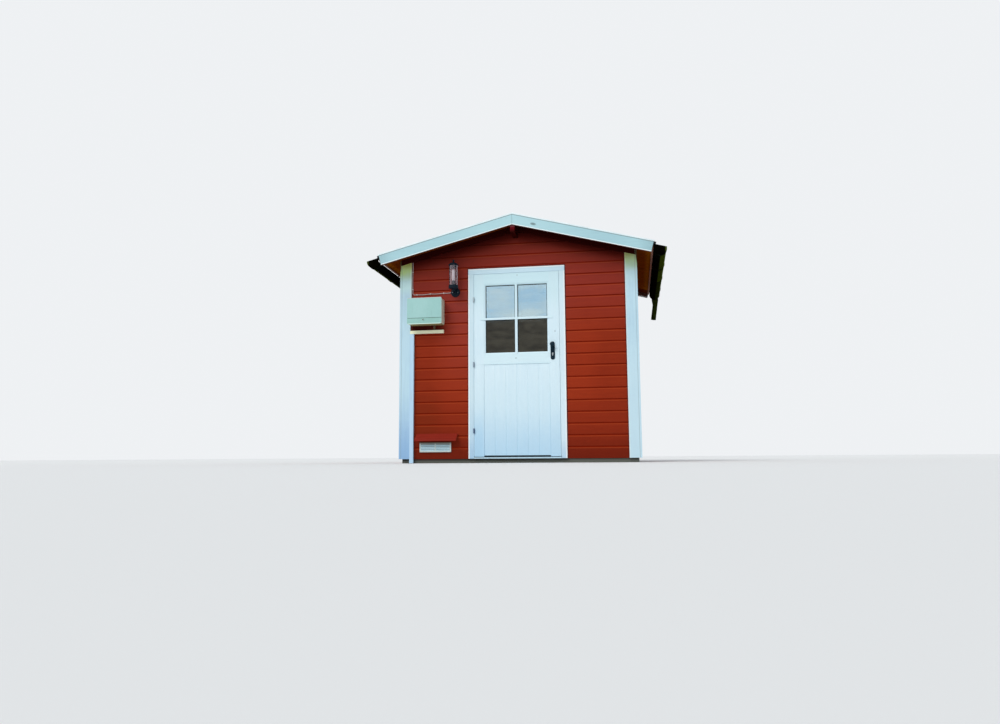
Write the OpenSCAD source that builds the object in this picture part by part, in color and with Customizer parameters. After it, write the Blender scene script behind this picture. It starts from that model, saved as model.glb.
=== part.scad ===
/* [Walls] */
// Width of the hut over its wall boards
wall_w = 2492; // [2300:10:2700]
// Depth of the hut over its wall boards
wall_d = 1830; // [1600:10:2100]
// Height of the side walls above the top of the door frame
wall_over = 129; // [100:1:250]
// Thickness of the wall boards
wall_t = 28; // [24:1:36]
// Side of the square posts inside the corners
post_w = 60; // [40:1:90]
// Width of the corner boards on the gable sides
corner_w = 106; // [70:1:125]
// Thickness of the corner boards
corner_t = 20; // [15:1:25]

/* [Floor] */
// Height of the bearers and joists
joist_h = 45; // [40:1:70]
// Width of the bearers and joists
joist_w = 70; // [45:1:90]
// Number of floor joists
joist_n = 5; // [3:1:7]
// How far the bearers stand back from the wall face
joist_inset = 10; // [5:1:20]
// Thickness of the floor boards
floor_t = 28; // [22:1:35]

/* [Roof] */
// Slope of the roof in degrees
roof_pitch = 14.4; // [12:0.1:18]
// Reach of the roof boards past the side walls
eave_over = 175; // [150:1:220]
// Reach of the roof boards past the gable walls
gable_over = 237; // [180:1:280]
// Thickness of the roof boards
deck_t = 22; // [18:1:28]
// Thickness of the roof felt
felt_t = 6; // [4:1:10]
// Height of the felt's raised edge along a gable
verge_h = 32; // [20:1:36]
// Depth of a bargeboard, square to the slope
barge_h = 122; // [110:1:140]
// Thickness of a bargeboard
barge_t = 20; // [16:1:28]
// Part of a bargeboard that hangs below the roof boards
barge_drop = 55; // [45:1:70]
// Bevel along the lower edge of a bargeboard
barge_bevel = 5; // [2:1:8]
// Thickness of the metal drip edge
drip_t = 1.5; // [1:0.5:3]
// Height of the front fold of the drip edge
drip_h = 13; // [8:1:20]
// Width of the top of the drip edge
drip_w = 46; // [30:1:60]
// Width of the ridge beam
ridge_w = 48; // [40:1:70]
// Height of the ridge beam
ridge_h = 130; // [100:1:160]
// Depth of the rafters on the gable walls, square to the slope
rafter_h = 55; // [45:1:80]
// Thickness of the rafters on the gable walls
rafter_t = 42; // [30:1:60]
// Thickness of the eave boards
eave_t = 20; // [16:1:28]
// Drop of the eave boards below the roof boards
eave_drop = 14; // [8:1:30]
// Width of the felt's raised edge along a gable
verge_w = 12; // [8:1:20]
// Reach of the felt past the eave boards
felt_over = 22; // [10:1:30]
// Reach of the drip edge past the end of a bargeboard
drip_over = 6; // [0:1:10]

/* [Gutters] */
// Inner radius of the gutters
gutter_r = 60.5; // [50:0.5:75]
// Wall thickness of gutters and pipes
gutter_t = 2.5; // [2:0.5:4]
// Drop of the gutter rims below the top of the side walls
gutter_down = 57; // [52:1:80]
// Radius of the rolled outer rim
bead_r = 5; // [4:0.5:7]
// Rise of an end cap at its inner side
cap_rise = 40; // [10:1:45]
// Thickness of the bracket straps
strap_t = 4; // [3:0.5:6]
// Width of the bracket straps
strap_w = 25; // [20:1:40]
// Number of brackets on a gutter
bracket_n = 4; // [3:1:6]
// Distance between two brackets
bracket_pitch = 635; // [300:5:640]
// Distance of the first bracket from the front end of the gutter
bracket_start = 72; // [40:1:150]
// Distance of the outlet from the rear end of the gutter
outlet_back = 140; // [90:1:250]
// Inner radius of the outlet
outlet_r = 38; // [34:0.5:45]
// Length of the outlet below the gutter
outlet_h = 40; // [25:1:80]
// Inner radius of the downpipe
pipe_r = 28; // [20:0.5:33]
// Length of the cone between outlet and pipe
cone_h = 60; // [40:1:90]
// Length of the downpipe
pipe_h = 190; // [100:5:400]
// Lean of the downpipe towards the wall in degrees
pipe_lean = 8; // [0:1:12]

/* [Door] */
// Width of the door frame over its outer edges
frame_w = 1029; // [900:1:1100]
// Height of the top of the door frame above the bottom of the walls
frame_h = 2013; // [1950:1:2040]
// Width of the jambs as seen from the front
jamb_w = 58; // [50:1:80]
// Depth of the door frame
frame_d = 92; // [85:1:120]
// How far the frame stands out from the wall boards
frame_out = 12; // [5:1:19]
// Width of the stop behind the leaf
stop_w = 14; // [10:1:20]
// Gap around the leaf
leaf_gap = 5; // [5:0.5:8]
// Thickness of the leaf
leaf_t = 40; // [35:1:45]
// Width of stiles and rails
stile_w = 104; // [90:1:130]
// Height of the bottom rail
bottom_rail_h = 35; // [30:1:80]
// Recess of the lower panel at the front
panel_front = 4; // [2:1:8]
// Thickness of the lower panel
panel_t = 18; // [12:1:24]
// Depth of the grooves between the panel boards
groove_d = 3; // [2:0.5:5]
// Width of the grooves between the panel boards
groove_w = 5; // [3:1:8]
// Number of vertical boards in the panel
panel_n = 6; // [4:1:8]
// Height of the window opening in the leaf
window_h = 762; // [600:1:800]
// Width of the glazing beads
bead_w = 20; // [14:1:26]
// Width of the upright glazing bar
bar_up_w = 28; // [20:1:36]
// Width of the level glazing bar
bar_level_w = 22; // [16:1:30]
// Reach of the level glazing bar over the stiles
bar_over = 38; // [20:1:60]
// How far the upright and the level glazing bar stand out from the leaf
bar_proud = [2, 5]; // [1:1:8]
// Depth of the beads behind the faces of the leaf
bead_in = 2; // [1:1:5]
// Thickness of the glass
glass_t = 4; // [3:1:6]
// Depth of the glass behind the face of the leaf
glass_in = 14; // [10:1:18]
// Height of the front step of the threshold
sill_h = 15; // [12:1:20]
// How far the threshold stands out from the frame
sill_out = 10; // [5:1:25]
// Fall of the threshold's front step
sill_fall = 3; // [1:1:6]

/* [Hinges] */
// Radius of the hinge knuckles
knuckle_r = 8; // [6:0.5:10]
// Length of one hinge over both knuckles
hinge_h = 50; // [40:2:80]
// Radius of the hinge pins
pin_r = 4; // [3:0.5:5]
// Radial play of a pin in its knuckle
pin_play = 0.05; // [0.02:0.01:0.1]
// Gap between the two knuckles of a hinge
knuckle_gap = 0.3; // [0.2:0.1:0.5]
// Thickness of the hinge plates
plate_t = 1.5; // [1:0.25:1.75]
// Depth of the hinge plates
plate_d = 30; // [20:1:36]
// Gap between the hinge axis side of a knuckle and the face of the leaf
knuckle_out = 0.5; // [0.2:0.1:2]
// Length by which a pin stops short of the top of its hinge
pin_short = 4; // [2:1:8]
// Height of the lowest hinge above the bottom of the walls
hinge_low = 287; // [200:1:400]
// Distance of the highest hinge from the top of the leaf
hinge_high = 271; // [150:1:400]

/* [Lock] */
// Width of the lock plate
lock_w = 44; // [36:1:54]
// Height of the lock plate
lock_h = 190; // [150:1:230]
// Thickness of the lock plate
lock_t = 5; // [3:0.5:8]
// Height of the plate's middle above the bottom of the window
lock_up = 26; // [-60:1:60]
// Distance of the plate's middle from the edge of the leaf
lock_in = 71; // [55:1:90]
// Radius of the knob
knob_r = 25; // [20:1:32]
// Distance of the knob's front from the leaf
knob_out = 58; // [45:1:70]
// Height of the knob above the plate's middle
knob_up = 62; // [40:1:70]
// Radius of the lock cylinder
cyl_r = 8.5; // [7:0.5:10]
// Drop of the lock cylinder below the plate's middle
cyl_down = 30; // [20:1:60]
// How far the lock cylinder stands out from the plate
cyl_out = 4; // [1:1:8]

/* [Wall lamp] */
// Distance of the lamp's axis from the door frame
lamp_side = 141.5; // [80:0.5:200]
// Drop of the lamp's wall disc below the top of the door frame
lamp_down = 245; // [200:1:400]
// Radius of the wall disc
disc_r = 50; // [40:1:60]
// Thickness of the wall disc
disc_t = 18; // [12:1:25]
// Distance of the lamp's axis from the wall
lamp_out = 100; // [95:1:130]
// Radius of the glass tube
tube_r = 45; // [38:1:46]
// Wall thickness of the glass tube
tube_t = 3; // [2:0.5:4]
// Height of the glass tube
tube_h = 216; // [160:1:225]
// Radius of the lamp's base ring and cap
cap_r = 53; // [50:1:56]
// Radius of the guard rods
rod_r = 3; // [2:0.5:4]
// Number of guard rods
rod_n = 4; // [3:1:8]
// Height of the cap
cap_h = 34; // [25:1:50]
// Radius of the lamp's arm
arm_r = 9; // [6:1:12]
// Radius of the stem below the base ring
stem_r = 14; // [10:1:20]
// Drop of the stem below the middle of the disc
stem_down = 12; // [9:1:20]
// Height of the cone between stem and base ring
base_cone_h = 12; // [6:1:20]
// Height of the base ring
base_h = 32; // [20:1:40]
// Height of the glass above the middle of the disc
tube_up = 56; // [50:1:70]
// Height of the cap's straight edge
cap_edge = 8; // [4:1:14]
// Radius of the ball on the cap
ball_r = 13; // [6:1:16]
// Height of the ball's middle above the cap
ball_up = 18; // [8:1:24]
// Radius of the neck below the ball
neck_r = 6; // [4:1:8]

/* [Electric box] */
// Width of the box
box_w = 375; // [300:1:400]
// Height of the box
box_h = 283; // [250:1:340]
// Depth of the box
box_d = 148; // [100:1:170]
// Radius of the box corners
box_r = 14; // [6:1:24]
// Drop of the box's top below the top of the door frame
box_down = 315; // [280:1:450]
// Depth of the box's lid
lid_t = 12; // [8:1:20]
// Reach of the lid over the box
lid_over = 4; // [2:1:8]
// Height of the flap line above the box's bottom
flap_h = 63; // [50:1:120]
// Width of the flap line
flap_gap = 4; // [2:1:6]
// Depth of the flap line
flap_in = 3; // [1:1:6]
// Radius of the latch knob
latch_r = 10; // [6:1:14]
// Place of the latch knob from the left edge and the bottom of the box
latch_at = [175, 48]; // [20:1:350]
// Radius of the cable gland below the box
gland_r = 12; // [8:1:16]
// Place of the gland from the left edge of the box
gland_x = 265; // [60:1:330]
// Width of the cable trunking
trunk_w = 42; // [36:1:50]
// Height of the level trunking
level_h = 34; // [25:1:45]
// How far the level trunking ends before the box's right edge
level_in = 7; // [0:1:40]
// Depth of the cable trunking
trunk_d = 30; // [20:1:40]
// Gap between the box and the level trunking
trunk_gap = 50; // [20:1:70]
// Clearance between trunking and corner board
trunk_play = 1; // [1:0.5:10]
// How far the left corner board is cut back beside the box and the trunking
board_cut = 10; // [5:1:20]

/* [Cable] */
// Radius of the supply cable
cable_r = 4.5; // [3.5:0.5:6]
// Radius of the cable's bend
cable_bend = 22; // [15:1:40]
// Height of the bend above the top of the box
cable_up = 62; // [25:1:90]
// How much thicker the cable is in its bend, on the radius
bend_swell = 0.1; // [0.05:0.05:0.2]
// Distance of the cable's middle from the corner board
cable_in = 11.5; // [10:0.5:40]
// Width of a cable clip
clip_w = 8; // [6:1:12]
// Wall thickness of a cable clip
clip_t = 3; // [2:0.5:4]
// Heights of the upper clips above the bend
clip_ups = [60, 251]; // [40:1:260]
// Places of the lower clips past the bend
clip_runs = [25, 173, 321]; // [20:1:380]

/* [Vent] */
// Width of the vent grille
vent_w = 338; // [250:1:400]
// Height of the vent grille
vent_h = 102; // [80:1:130]
// Depth of the vent grille
vent_d = 16; // [12:1:24]
// Width of the vent's frame
vent_rim = 12; // [8:1:18]
// Height of the vent's bottom above the bottom of the walls
vent_z = 71; // [40:1:100]
// Distance of the vent's middle from the corner board
vent_in = 269; // [225:1:400]
// Thickness of the vent's back plate
vent_back = 3; // [2:1:5]
// Depth of the louvres behind the front of the frame
louvre_in = 3; // [2:1:9]
// Number of louvres
louvre_n = 5; // [3:1:7]
// Width of the hood over the vent
hood_w = 447; // [360:1:500]
// Shift of the hood's middle from the vent's
hood_side = 15; // [-20:1:20]
// Reach of the hood from the wall
hood_out = 82; // [60:1:110]
// Drop of the hood from its top to its front
hood_drop = 62; // [30:1:90]
// Thickness of the hood board
hood_t = 18; // [14:1:24]
// Gap between the vent and the hood's lower edge
hood_gap = 12; // [8:1:40]

/* [Fits] */
// Clearance between a small or round piece and its seat
seat_gap = 0.3; // [0.2:0.1:0.5]
// Clearance between the roof boards and the timber below them
roof_gap = 0.05; // [0.02:0.01:0.2]

/* [Hidden] */

red = [0.66, 0.13, 0.10];
white = [0.86, 0.90, 0.92];
stain = [0.68, 0.36, 0.14];
raw_wood = [0.70, 0.58, 0.42];
black = [0.08, 0.08, 0.09];
grey = [0.70, 0.72, 0.72];

// Wall planes: x_out and y_out are the outer faces of the wall boards
wall_h = frame_h + wall_over;
x_out = wall_w / 2;
y_out = wall_d / 2;
x_in = x_out - wall_t;
y_in = y_out - wall_t;
wall_z = joist_h;
floor_z = wall_z + floor_t;

// Roof plane: the underside of the roof boards
slope = tan(roof_pitch);
ridge_z = wall_z + wall_h + x_out * slope;
function under_z(x) = ridge_z - abs(x) * slope;
x_eave = x_out + eave_over;
y_deck = y_out + gable_over;
barge_top = barge_h - barge_drop;
deck_up = deck_t / cos(roof_pitch);
big = 6000;

// Gutter places: the bracket ring touches the eave board
gutter_out = gutter_r + gutter_t;
ring_r = gutter_out + seat_gap + strap_t;
eave_face = x_eave - eave_t / 2 + eave_t;
gutter_x = eave_face + ring_r;
rim_z = wall_z + wall_h - gutter_down;
gutter_end = y_deck + barge_t;
outlet_y = gutter_end - outlet_back;

// Door places, seen from the front with the hinges at the left
front_y = -y_out;
frame_y = front_y - frame_out;
frame_top = wall_z + frame_h;
head_z = frame_top - jamb_w;
jamb_x = frame_w / 2 - jamb_w;
leaf_w = 2 * jamb_x - 2 * leaf_gap;
leaf_z = wall_z + sill_h + leaf_gap;
leaf_h = head_z - leaf_gap - leaf_z;
leaf_back = frame_y + leaf_t;
stop_y = leaf_back + leaf_gap;
window_w = leaf_w - 2 * stile_w;
window_top = leaf_z + leaf_h - stile_w;
window_z = window_top - window_h;
panel_top = window_z - stile_w;
panel_z = leaf_z + bottom_rail_h;
board_w = window_w / panel_n;
glass_y = frame_y + glass_in;

lock_x = leaf_w / 2 - lock_in;
plate_z = window_z + lock_up;
// Turned outline of the knob, in shares of its radius and its length
knob_shape = [[0, 0], [0.62, 0], [0.62, 0.08], [0.40, 0.17], [0.36, 0.42],
    [0.72, 0.59], [1, 0.75], [1, 0.87], [0.76, 0.96], [0, 1]];

// Hinge axis, in front of the gap between jamb and leaf
axis_x = -jamb_x + leaf_gap / 2;
axis_y = frame_y - knuckle_r - knuckle_out;
hinge_0 = wall_z + hinge_low;
hinge_2 = leaf_z + leaf_h - hinge_high;
hinge_zs = [hinge_0, (hinge_0 + hinge_2) / 2, hinge_2];

// Box, trunking and cable lie on the wall beside the left corner board
corner_x = -x_out + corner_w;
trunk_x = corner_x - board_cut + trunk_play;
box_x = trunk_x;
box_bottom = frame_top - box_down - box_h;
cable_x = corner_x + cable_in;
cable_y = front_y - cable_r - seat_gap;
bend_z = box_bottom + box_h + cable_up;
cable_top = under_z(cable_x) - rafter_h / cos(roof_pitch) - 1;
lamp_x = -frame_w / 2 - lamp_side;
disc_z = frame_top - lamp_down;
tube_z = disc_z + tube_up;
cable_end = lamp_x - disc_r - seat_gap;
cable_rise = atan((disc_z - bend_z) / (cable_end - cable_x));
vent_x = corner_x + vent_in;

// A flat shape in Y and Z, drawn out along X from x0 to x1
module along_x(x0, x1) {
    translate([x0, 0, 0])
        rotate([90, 0, 90])
            linear_extrude(x1 - x0)
                children();
}

// A flat shape in X and Z, drawn out along Y from y0 to y1
module along_y(y0, y1) {
    translate([0, y1, 0])
        rotate([90, 0, 0])
            linear_extrude(y1 - y0)
                children();
}

// A block between two opposite corners
module block(low, high) {
    translate(low)
        cube(high - low);
}

module both_sides() {
    children();
    mirror([1, 0, 0])
        children();
}

module both_ends() {
    children();
    mirror([0, 1, 0])
        children();
}

// A flat shape in Y and height above the roof plane, run down the right
// slope for run millimetres and cut plumb at the ridge
module down_slope(run) {
    intersection() {
        translate([0, 0, ridge_z])
            rotate([0, roof_pitch, 0])
                along_x(-200, run)
                    children();
        block([0, -big, 0], [big, big, big]);
    }
}

// Outline under the roof boards from x0 to x1, down to z0
module under_roof(x0, x1, z0) {
    peak = (x0 < 0 && x1 > 0) ? [[0, ridge_z]] : [];
    polygon(concat([[x0, z0], [x0, under_z(x0)]], peak, [[x1, under_z(x1)], [x1, z0]]));
}

module end_bearers() {
    x = x_out - joist_inset;
    color(raw_wood)
        both_ends()
            block([-x, front_y + joist_inset, 0], [x, front_y + joist_inset + joist_w, joist_h]);
}

module floor_joists() {
    y = y_out - joist_inset - joist_w;
    step = (wall_w - 2 * joist_inset - joist_w) / (joist_n - 1);
    color(raw_wood)
        for (i = [0 : joist_n - 1])
            translate([-x_out + joist_inset + i * step, -y, 0])
                cube([joist_w, 2 * y, joist_h]);
}

module floor_deck() {
    color(raw_wood)
        difference() {
            block([-x_in, -y_in, wall_z], [x_in, y_in, floor_z]);
            block([-frame_w / 2, -y_out, wall_z - 1], [frame_w / 2, frame_y + frame_d, floor_z + 1]);
        }
}

module front_wall_left() {
    color(red)
        block([-x_out, front_y, wall_z], [-frame_w / 2, -y_in, frame_top]);
}

module front_wall_right() {
    color(red)
        block([frame_w / 2, front_y, wall_z], [x_out, -y_in, frame_top]);
}

module ridge_profile() {
    x = ridge_w / 2;
    translate([0, -roof_gap])
        under_roof(-x, x, ridge_z - ridge_h);
}

module front_wall_over_door() {
    color(red)
        along_y(front_y, -y_in)
            difference() {
                under_roof(-x_out, x_out, frame_top);
                ridge_profile();
            }
}

module rear_wall() {
    color(red)
        along_y(y_in, y_out)
            difference() {
                under_roof(-x_out, x_out, wall_z);
                ridge_profile();
            }
}

module side_wall() {
    along_y(-y_in, y_in)
        under_roof(x_in, x_out, wall_z);
}

module left_wall() {
    color(red)
        mirror([1, 0, 0])
            side_wall();
}

module right_wall() {
    color(red)
        side_wall();
}

module corner_posts() {
    color(raw_wood)
        both_sides()
            both_ends()
                along_y(y_in - post_w, y_in)
                    under_roof(x_in - post_w, x_in, floor_z);
}

// One front corner: a board on the gable side and one on the side wall
module corner_pair() {
    low = rafter_h / cos(roof_pitch) + 2 * roof_gap;
    along_y(front_y - corner_t, front_y)
        translate([0, -low])
            under_roof(x_out - corner_w, x_out, wall_z + low);
    along_y(front_y - corner_t, front_y - corner_t + corner_w)
        translate([0, -1])
            under_roof(x_out, x_out + corner_t, wall_z + 1);
}

module front_corner_boards() {
    color(white)
        difference() {
            both_sides()
                corner_pair();
            along_y(front_y - corner_t - 1, front_y + 1)
                translate([box_x - trunk_play, 0])
                    square([board_cut + 1, box_bottom + box_h + trunk_play]);
        }
}

module rear_corner_boards() {
    color(white)
        mirror([0, 1, 0])
            both_sides()
                corner_pair();
}

module ridge_beam() {
    color(red)
        along_y(-y_deck, y_deck)
            ridge_profile();
}

module gable_rafters() {
    low = rafter_h / cos(roof_pitch);
    x0 = ridge_w / 2;
    color(red)
        both_ends()
            both_sides()
                along_y(y_out, y_out + rafter_t)
                    translate([0, -roof_gap])
                        polygon([[x0, under_z(x0)], [x_out, under_z(x_out)],
                            [x_out, under_z(x_out) - low], [x0, under_z(x0) - low]]);
}

module roof_deck_side() {
    x = x_eave - eave_t / 2;
    along_y(-y_deck, y_deck)
        polygon([[0, ridge_z], [x, under_z(x)], [x, under_z(x) + deck_up], [0, ridge_z + deck_up]]);
}

module roof_deck_left() {
    color(stain)
        mirror([1, 0, 0])
            roof_deck_side();
}

module roof_deck_right() {
    color(stain)
        roof_deck_side();
}

// The felt lies on the boards and climbs a fillet along each gable
module roof_felt_side() {
    top = deck_t + felt_t;
    y_edge = y_deck - verge_w;
    run = (eave_face + felt_over) / cos(roof_pitch) - top * slope;
    down_slope(run)
        polygon([[-y_deck, deck_t], [y_deck, deck_t], [y_deck, top + verge_h], [y_edge, top + verge_h],
            [y_edge - verge_h, top], [verge_h - y_edge, top],
            [-y_edge, top + verge_h], [-y_deck, top + verge_h]]);
}

module roof_felt_left() {
    color(black)
        mirror([1, 0, 0])
            roof_felt_side();
}

module roof_felt_right() {
    color(black)
        roof_felt_side();
}

// The front right bargeboard, with a bevel along its lower front edge
module bargeboard() {
    y0 = -y_deck - barge_t;
    b = barge_bevel;
    down_slope(x_eave / cos(roof_pitch))
        polygon([[y0, barge_top], [y0, -barge_drop + b], [y0 + b, -barge_drop],
            [-y_deck, -barge_drop], [-y_deck, barge_top]]);
}

module front_left_bargeboard() {
    color(white)
        mirror([1, 0, 0])
            bargeboard();
}

module front_right_bargeboard() {
    color(white)
        bargeboard();
}

module rear_left_bargeboard() {
    color(white)
        mirror([1, 0, 0])
            mirror([0, 1, 0])
                bargeboard();
}

module rear_right_bargeboard() {
    color(white)
        mirror([0, 1, 0])
            bargeboard();
}

// Folded metal along the top of the bargeboards
module drip_edges() {
    y0 = -y_deck - barge_t;
    t = drip_t;
    color(white)
        both_ends()
            both_sides()
                down_slope(x_eave / cos(roof_pitch) + drip_over)
                    polygon([[y0 - t, barge_top + t], [y0 - t, barge_top + t - drip_h],
                        [y0, barge_top + t - drip_h], [y0, barge_top],
                        [y0 - t + drip_w, barge_top], [y0 - t + drip_w, barge_top + t]]);
}

module eave_boards() {
    x0 = eave_face - eave_t;
    color(stain)
        both_sides()
            along_y(-y_deck, y_deck)
                polygon([[x0, under_z(x0) + deck_up], [x0, under_z(x0) - eave_drop],
                    [eave_face, under_z(x0) - eave_drop], [eave_face, under_z(eave_face) + deck_up]]);
}

// Lower half of a round shape, in X and Z about the gutter's centre
module half_round(r) {
    intersection() {
        circle(r, $fn = 64);
        translate([-r, -r])
            square([2 * r, r]);
    }
}

module gutter_outline() {
    half_round(gutter_out);
    translate([gutter_out - bead_r, 0])
        circle(bead_r, $fn = 32);
}

module gutter_cap() {
    half_round(gutter_out + gutter_t);
    polygon([[-gutter_out, 0], [gutter_out + gutter_t, 0],
        [gutter_out + gutter_t, bead_r], [-gutter_out, cap_rise]]);
}

// Right gutter: half round with a rolled rim, two end caps and an outlet
module gutter() {
    t = gutter_t;
    translate([gutter_x, 0, rim_z])
        difference() {
            union() {
                along_y(-gutter_end, gutter_end)
                    gutter_outline();
                along_y(-gutter_end, t - gutter_end)
                    gutter_cap();
                along_y(gutter_end - t, gutter_end)
                    gutter_cap();
                translate([0, outlet_y, -gutter_out - outlet_h])
                    cylinder(r = outlet_r + t, h = outlet_h + gutter_out / 2, $fn = 64);
            }
            along_y(t - gutter_end, gutter_end - t)
                half_round(gutter_r);
            translate([0, outlet_y, -gutter_out - outlet_h - 1])
                cylinder(r = outlet_r, h = outlet_h + gutter_out, $fn = 64);
        }
}

module left_gutter() {
    color(black)
        mirror([1, 0, 0])
            gutter();
}

module right_gutter() {
    color(black)
        gutter();
}

module bracket() {
    back_h = under_z(eave_face + strap_t) + deck_up - rim_z;
    translate([gutter_x, 0, rim_z])
        along_y(-strap_w / 2, strap_w / 2)
            union() {
                difference() {
                    half_round(ring_r);
                    circle(ring_r - strap_t, $fn = 64);
                }
                translate([-ring_r, 0])
                    square([strap_t, back_h]);
                translate([ring_r - strap_t, 0])
                    square([strap_t, 2 * bead_r]);
            }
}

module gutter_brackets() {
    color(black)
        both_sides()
            for (i = [0 : bracket_n - 1])
                translate([0, -gutter_end + bracket_start + i * bracket_pitch, 0])
                    bracket();
}

// Inside or outside of the right downpipe: a cone, a knee and a leaning pipe
module downpipe_shape(grow, over) {
    translate([gutter_x, outlet_y, rim_z - gutter_out - outlet_h - cone_h]) {
        cylinder(r1 = pipe_r + grow, r2 = outlet_r + grow, h = cone_h, $fn = 64);
        sphere(r = pipe_r + grow, $fn = 64);
        rotate([0, 180 + pipe_lean, 0])
            cylinder(r = pipe_r + grow, h = pipe_h + over, $fn = 64);
        translate([0, 0, cone_h - 0.1])
            cylinder(r = outlet_r + grow, h = 0.1 + over, $fn = 64);
    }
}

module downpipes() {
    color(black)
        both_sides()
            difference() {
                downpipe_shape(gutter_t, 0);
                downpipe_shape(0, 1);
            }
}

// Right jamb, with a stop behind the leaf
module jamb() {
    block([jamb_x, frame_y, wall_z], [frame_w / 2, frame_y + frame_d, head_z]);
    block([jamb_x - stop_w, stop_y, floor_z], [jamb_x + 1, frame_y + frame_d, head_z]);
}

module left_jamb() {
    color(white)
        mirror([1, 0, 0])
            jamb();
}

module right_jamb() {
    color(white)
        jamb();
}

module door_head() {
    x = jamb_x - stop_w;
    color(white) {
        block([-frame_w / 2, frame_y, head_z], [frame_w / 2, frame_y + frame_d, frame_top]);
        block([-x, stop_y, head_z - stop_w], [x, frame_y + frame_d, head_z + 1]);
    }
}

module door_threshold() {
    y0 = frame_y - sill_out;
    y1 = frame_y + frame_d;
    color(white)
        along_x(-jamb_x, jamb_x)
            polygon([[y0, wall_z], [y1, wall_z], [y1, floor_z], [stop_y, floor_z],
                [stop_y, wall_z + sill_h], [y0, wall_z + sill_h - sill_fall]]);
}

// Stiles and rails round the window, with a boarded panel below
module door_leaf() {
    x = window_w / 2;
    y0 = frame_y;
    color(white)
        difference() {
            block([-leaf_w / 2, y0, leaf_z], [leaf_w / 2, leaf_back, leaf_z + leaf_h]);
            block([-x, y0 - 1, window_z], [x, leaf_back + 1, window_top]);
            block([-x, y0 - 1, panel_z], [x, y0 + panel_front, panel_top]);
            block([-x, y0 + panel_front + panel_t, panel_z], [x, leaf_back + 1, panel_top]);
            for (i = [1 : panel_n - 1])
                translate([-x + i * board_w - groove_w / 2, y0 + panel_front - 1, panel_z])
                    cube([groove_w, groove_d + 1, panel_top - panel_z]);
        }
}

// Beads on both sides of the glass, and the crossing bars at the front
module glazing_bars() {
    x = window_w / 2;
    x_bead = x - bead_w;
    z0 = window_z + bead_w;
    z1 = window_top - bead_w;
    low = (window_z + window_top - bar_level_w) / 2;
    high = low + bar_level_w;
    y_back = glass_y + glass_t;
    color(white) {
        difference() {
            block([-x, frame_y + bead_in, window_z], [x, glass_y, window_top]);
            block([-x_bead, frame_y, z0], [x_bead, glass_y + 1, z1]);
        }
        difference() {
            block([-x, y_back, window_z], [x, leaf_back - bead_in, window_top]);
            block([-x_bead, y_back - 1, z0], [x_bead, leaf_back, z1]);
        }
        block([-bar_up_w / 2, frame_y - bar_proud[0], window_z + 1],
            [bar_up_w / 2, glass_y, window_top - 1]);
        block([-x - bar_over, frame_y - bar_proud[1], low], [x + bar_over, frame_y, high]);
        block([1 - x, frame_y - 1, low], [x - 1, glass_y, high]);
    }
}

module door_glass() {
    x = window_w / 2;
    color([0.6, 0.7, 0.75])
        block([-x, glass_y, window_z], [x, glass_y + glass_t, window_top]);
}

// Long plate with round ends, a turned knob and a lock cylinder
module door_lock() {
    end = lock_h / 2 - lock_w / 2;
    long = knob_out - lock_t;
    color(black)
        translate([lock_x, frame_y, plate_z]) {
            difference() {
                rotate([90, 0, 0])
                    linear_extrude(lock_t)
                        union() {
                            square([lock_w, 2 * end], center = true);
                            translate([0, end])
                                circle(lock_w / 2, $fn = 48);
                            translate([0, -end])
                                circle(lock_w / 2, $fn = 48);
                        }
                translate([0, 1, -cyl_down])
                    rotate([90, 0, 0])
                        cylinder(r = cyl_r + seat_gap, h = lock_t + 2, $fn = 32);
            }
            translate([0, -lock_t + 0.01, knob_up])
                rotate([90, 0, 0])
                    rotate_extrude($fn = 48)
                        polygon([for (p = knob_shape) [p[0] * knob_r, p[1] * long]]);
            translate([0, 0, -cyl_down])
                rotate([90, 0, 0])
                    cylinder(r = cyl_r, h = lock_t + cyl_out, $fn = 32);
        }
}

// Lower half of a lift-off hinge: knuckle, pin and plate on the jamb
module hinge_frame_halves() {
    half = (hinge_h - knuckle_gap) / 2;
    x0 = -leaf_gap / 2;
    color(grey)
        for (z = hinge_zs)
            translate([axis_x, axis_y, z - hinge_h / 2]) {
                cylinder(r = knuckle_r, h = half, $fn = 48);
                cylinder(r = pin_r, h = hinge_h - pin_short, $fn = 32);
                block([x0, 0, 0], [x0 + plate_t, knuckle_r + plate_d, half]);
            }
}

// Upper half of a lift-off hinge: bored knuckle and plate on the leaf
module hinge_leaf_halves() {
    half = (hinge_h - knuckle_gap) / 2;
    x1 = leaf_gap / 2;
    color(grey)
        for (z = hinge_zs)
            translate([axis_x, axis_y, z + knuckle_gap / 2])
                difference() {
                    union() {
                        cylinder(r = knuckle_r, h = half, $fn = 48);
                        block([x1 - plate_t, 0, 0], [x1, knuckle_r + plate_d, half]);
                    }
                    translate([0, 0, -1])
                        cylinder(r = pin_r + pin_play, h = half - pin_short + 2, $fn = 32);
                }
}

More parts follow.
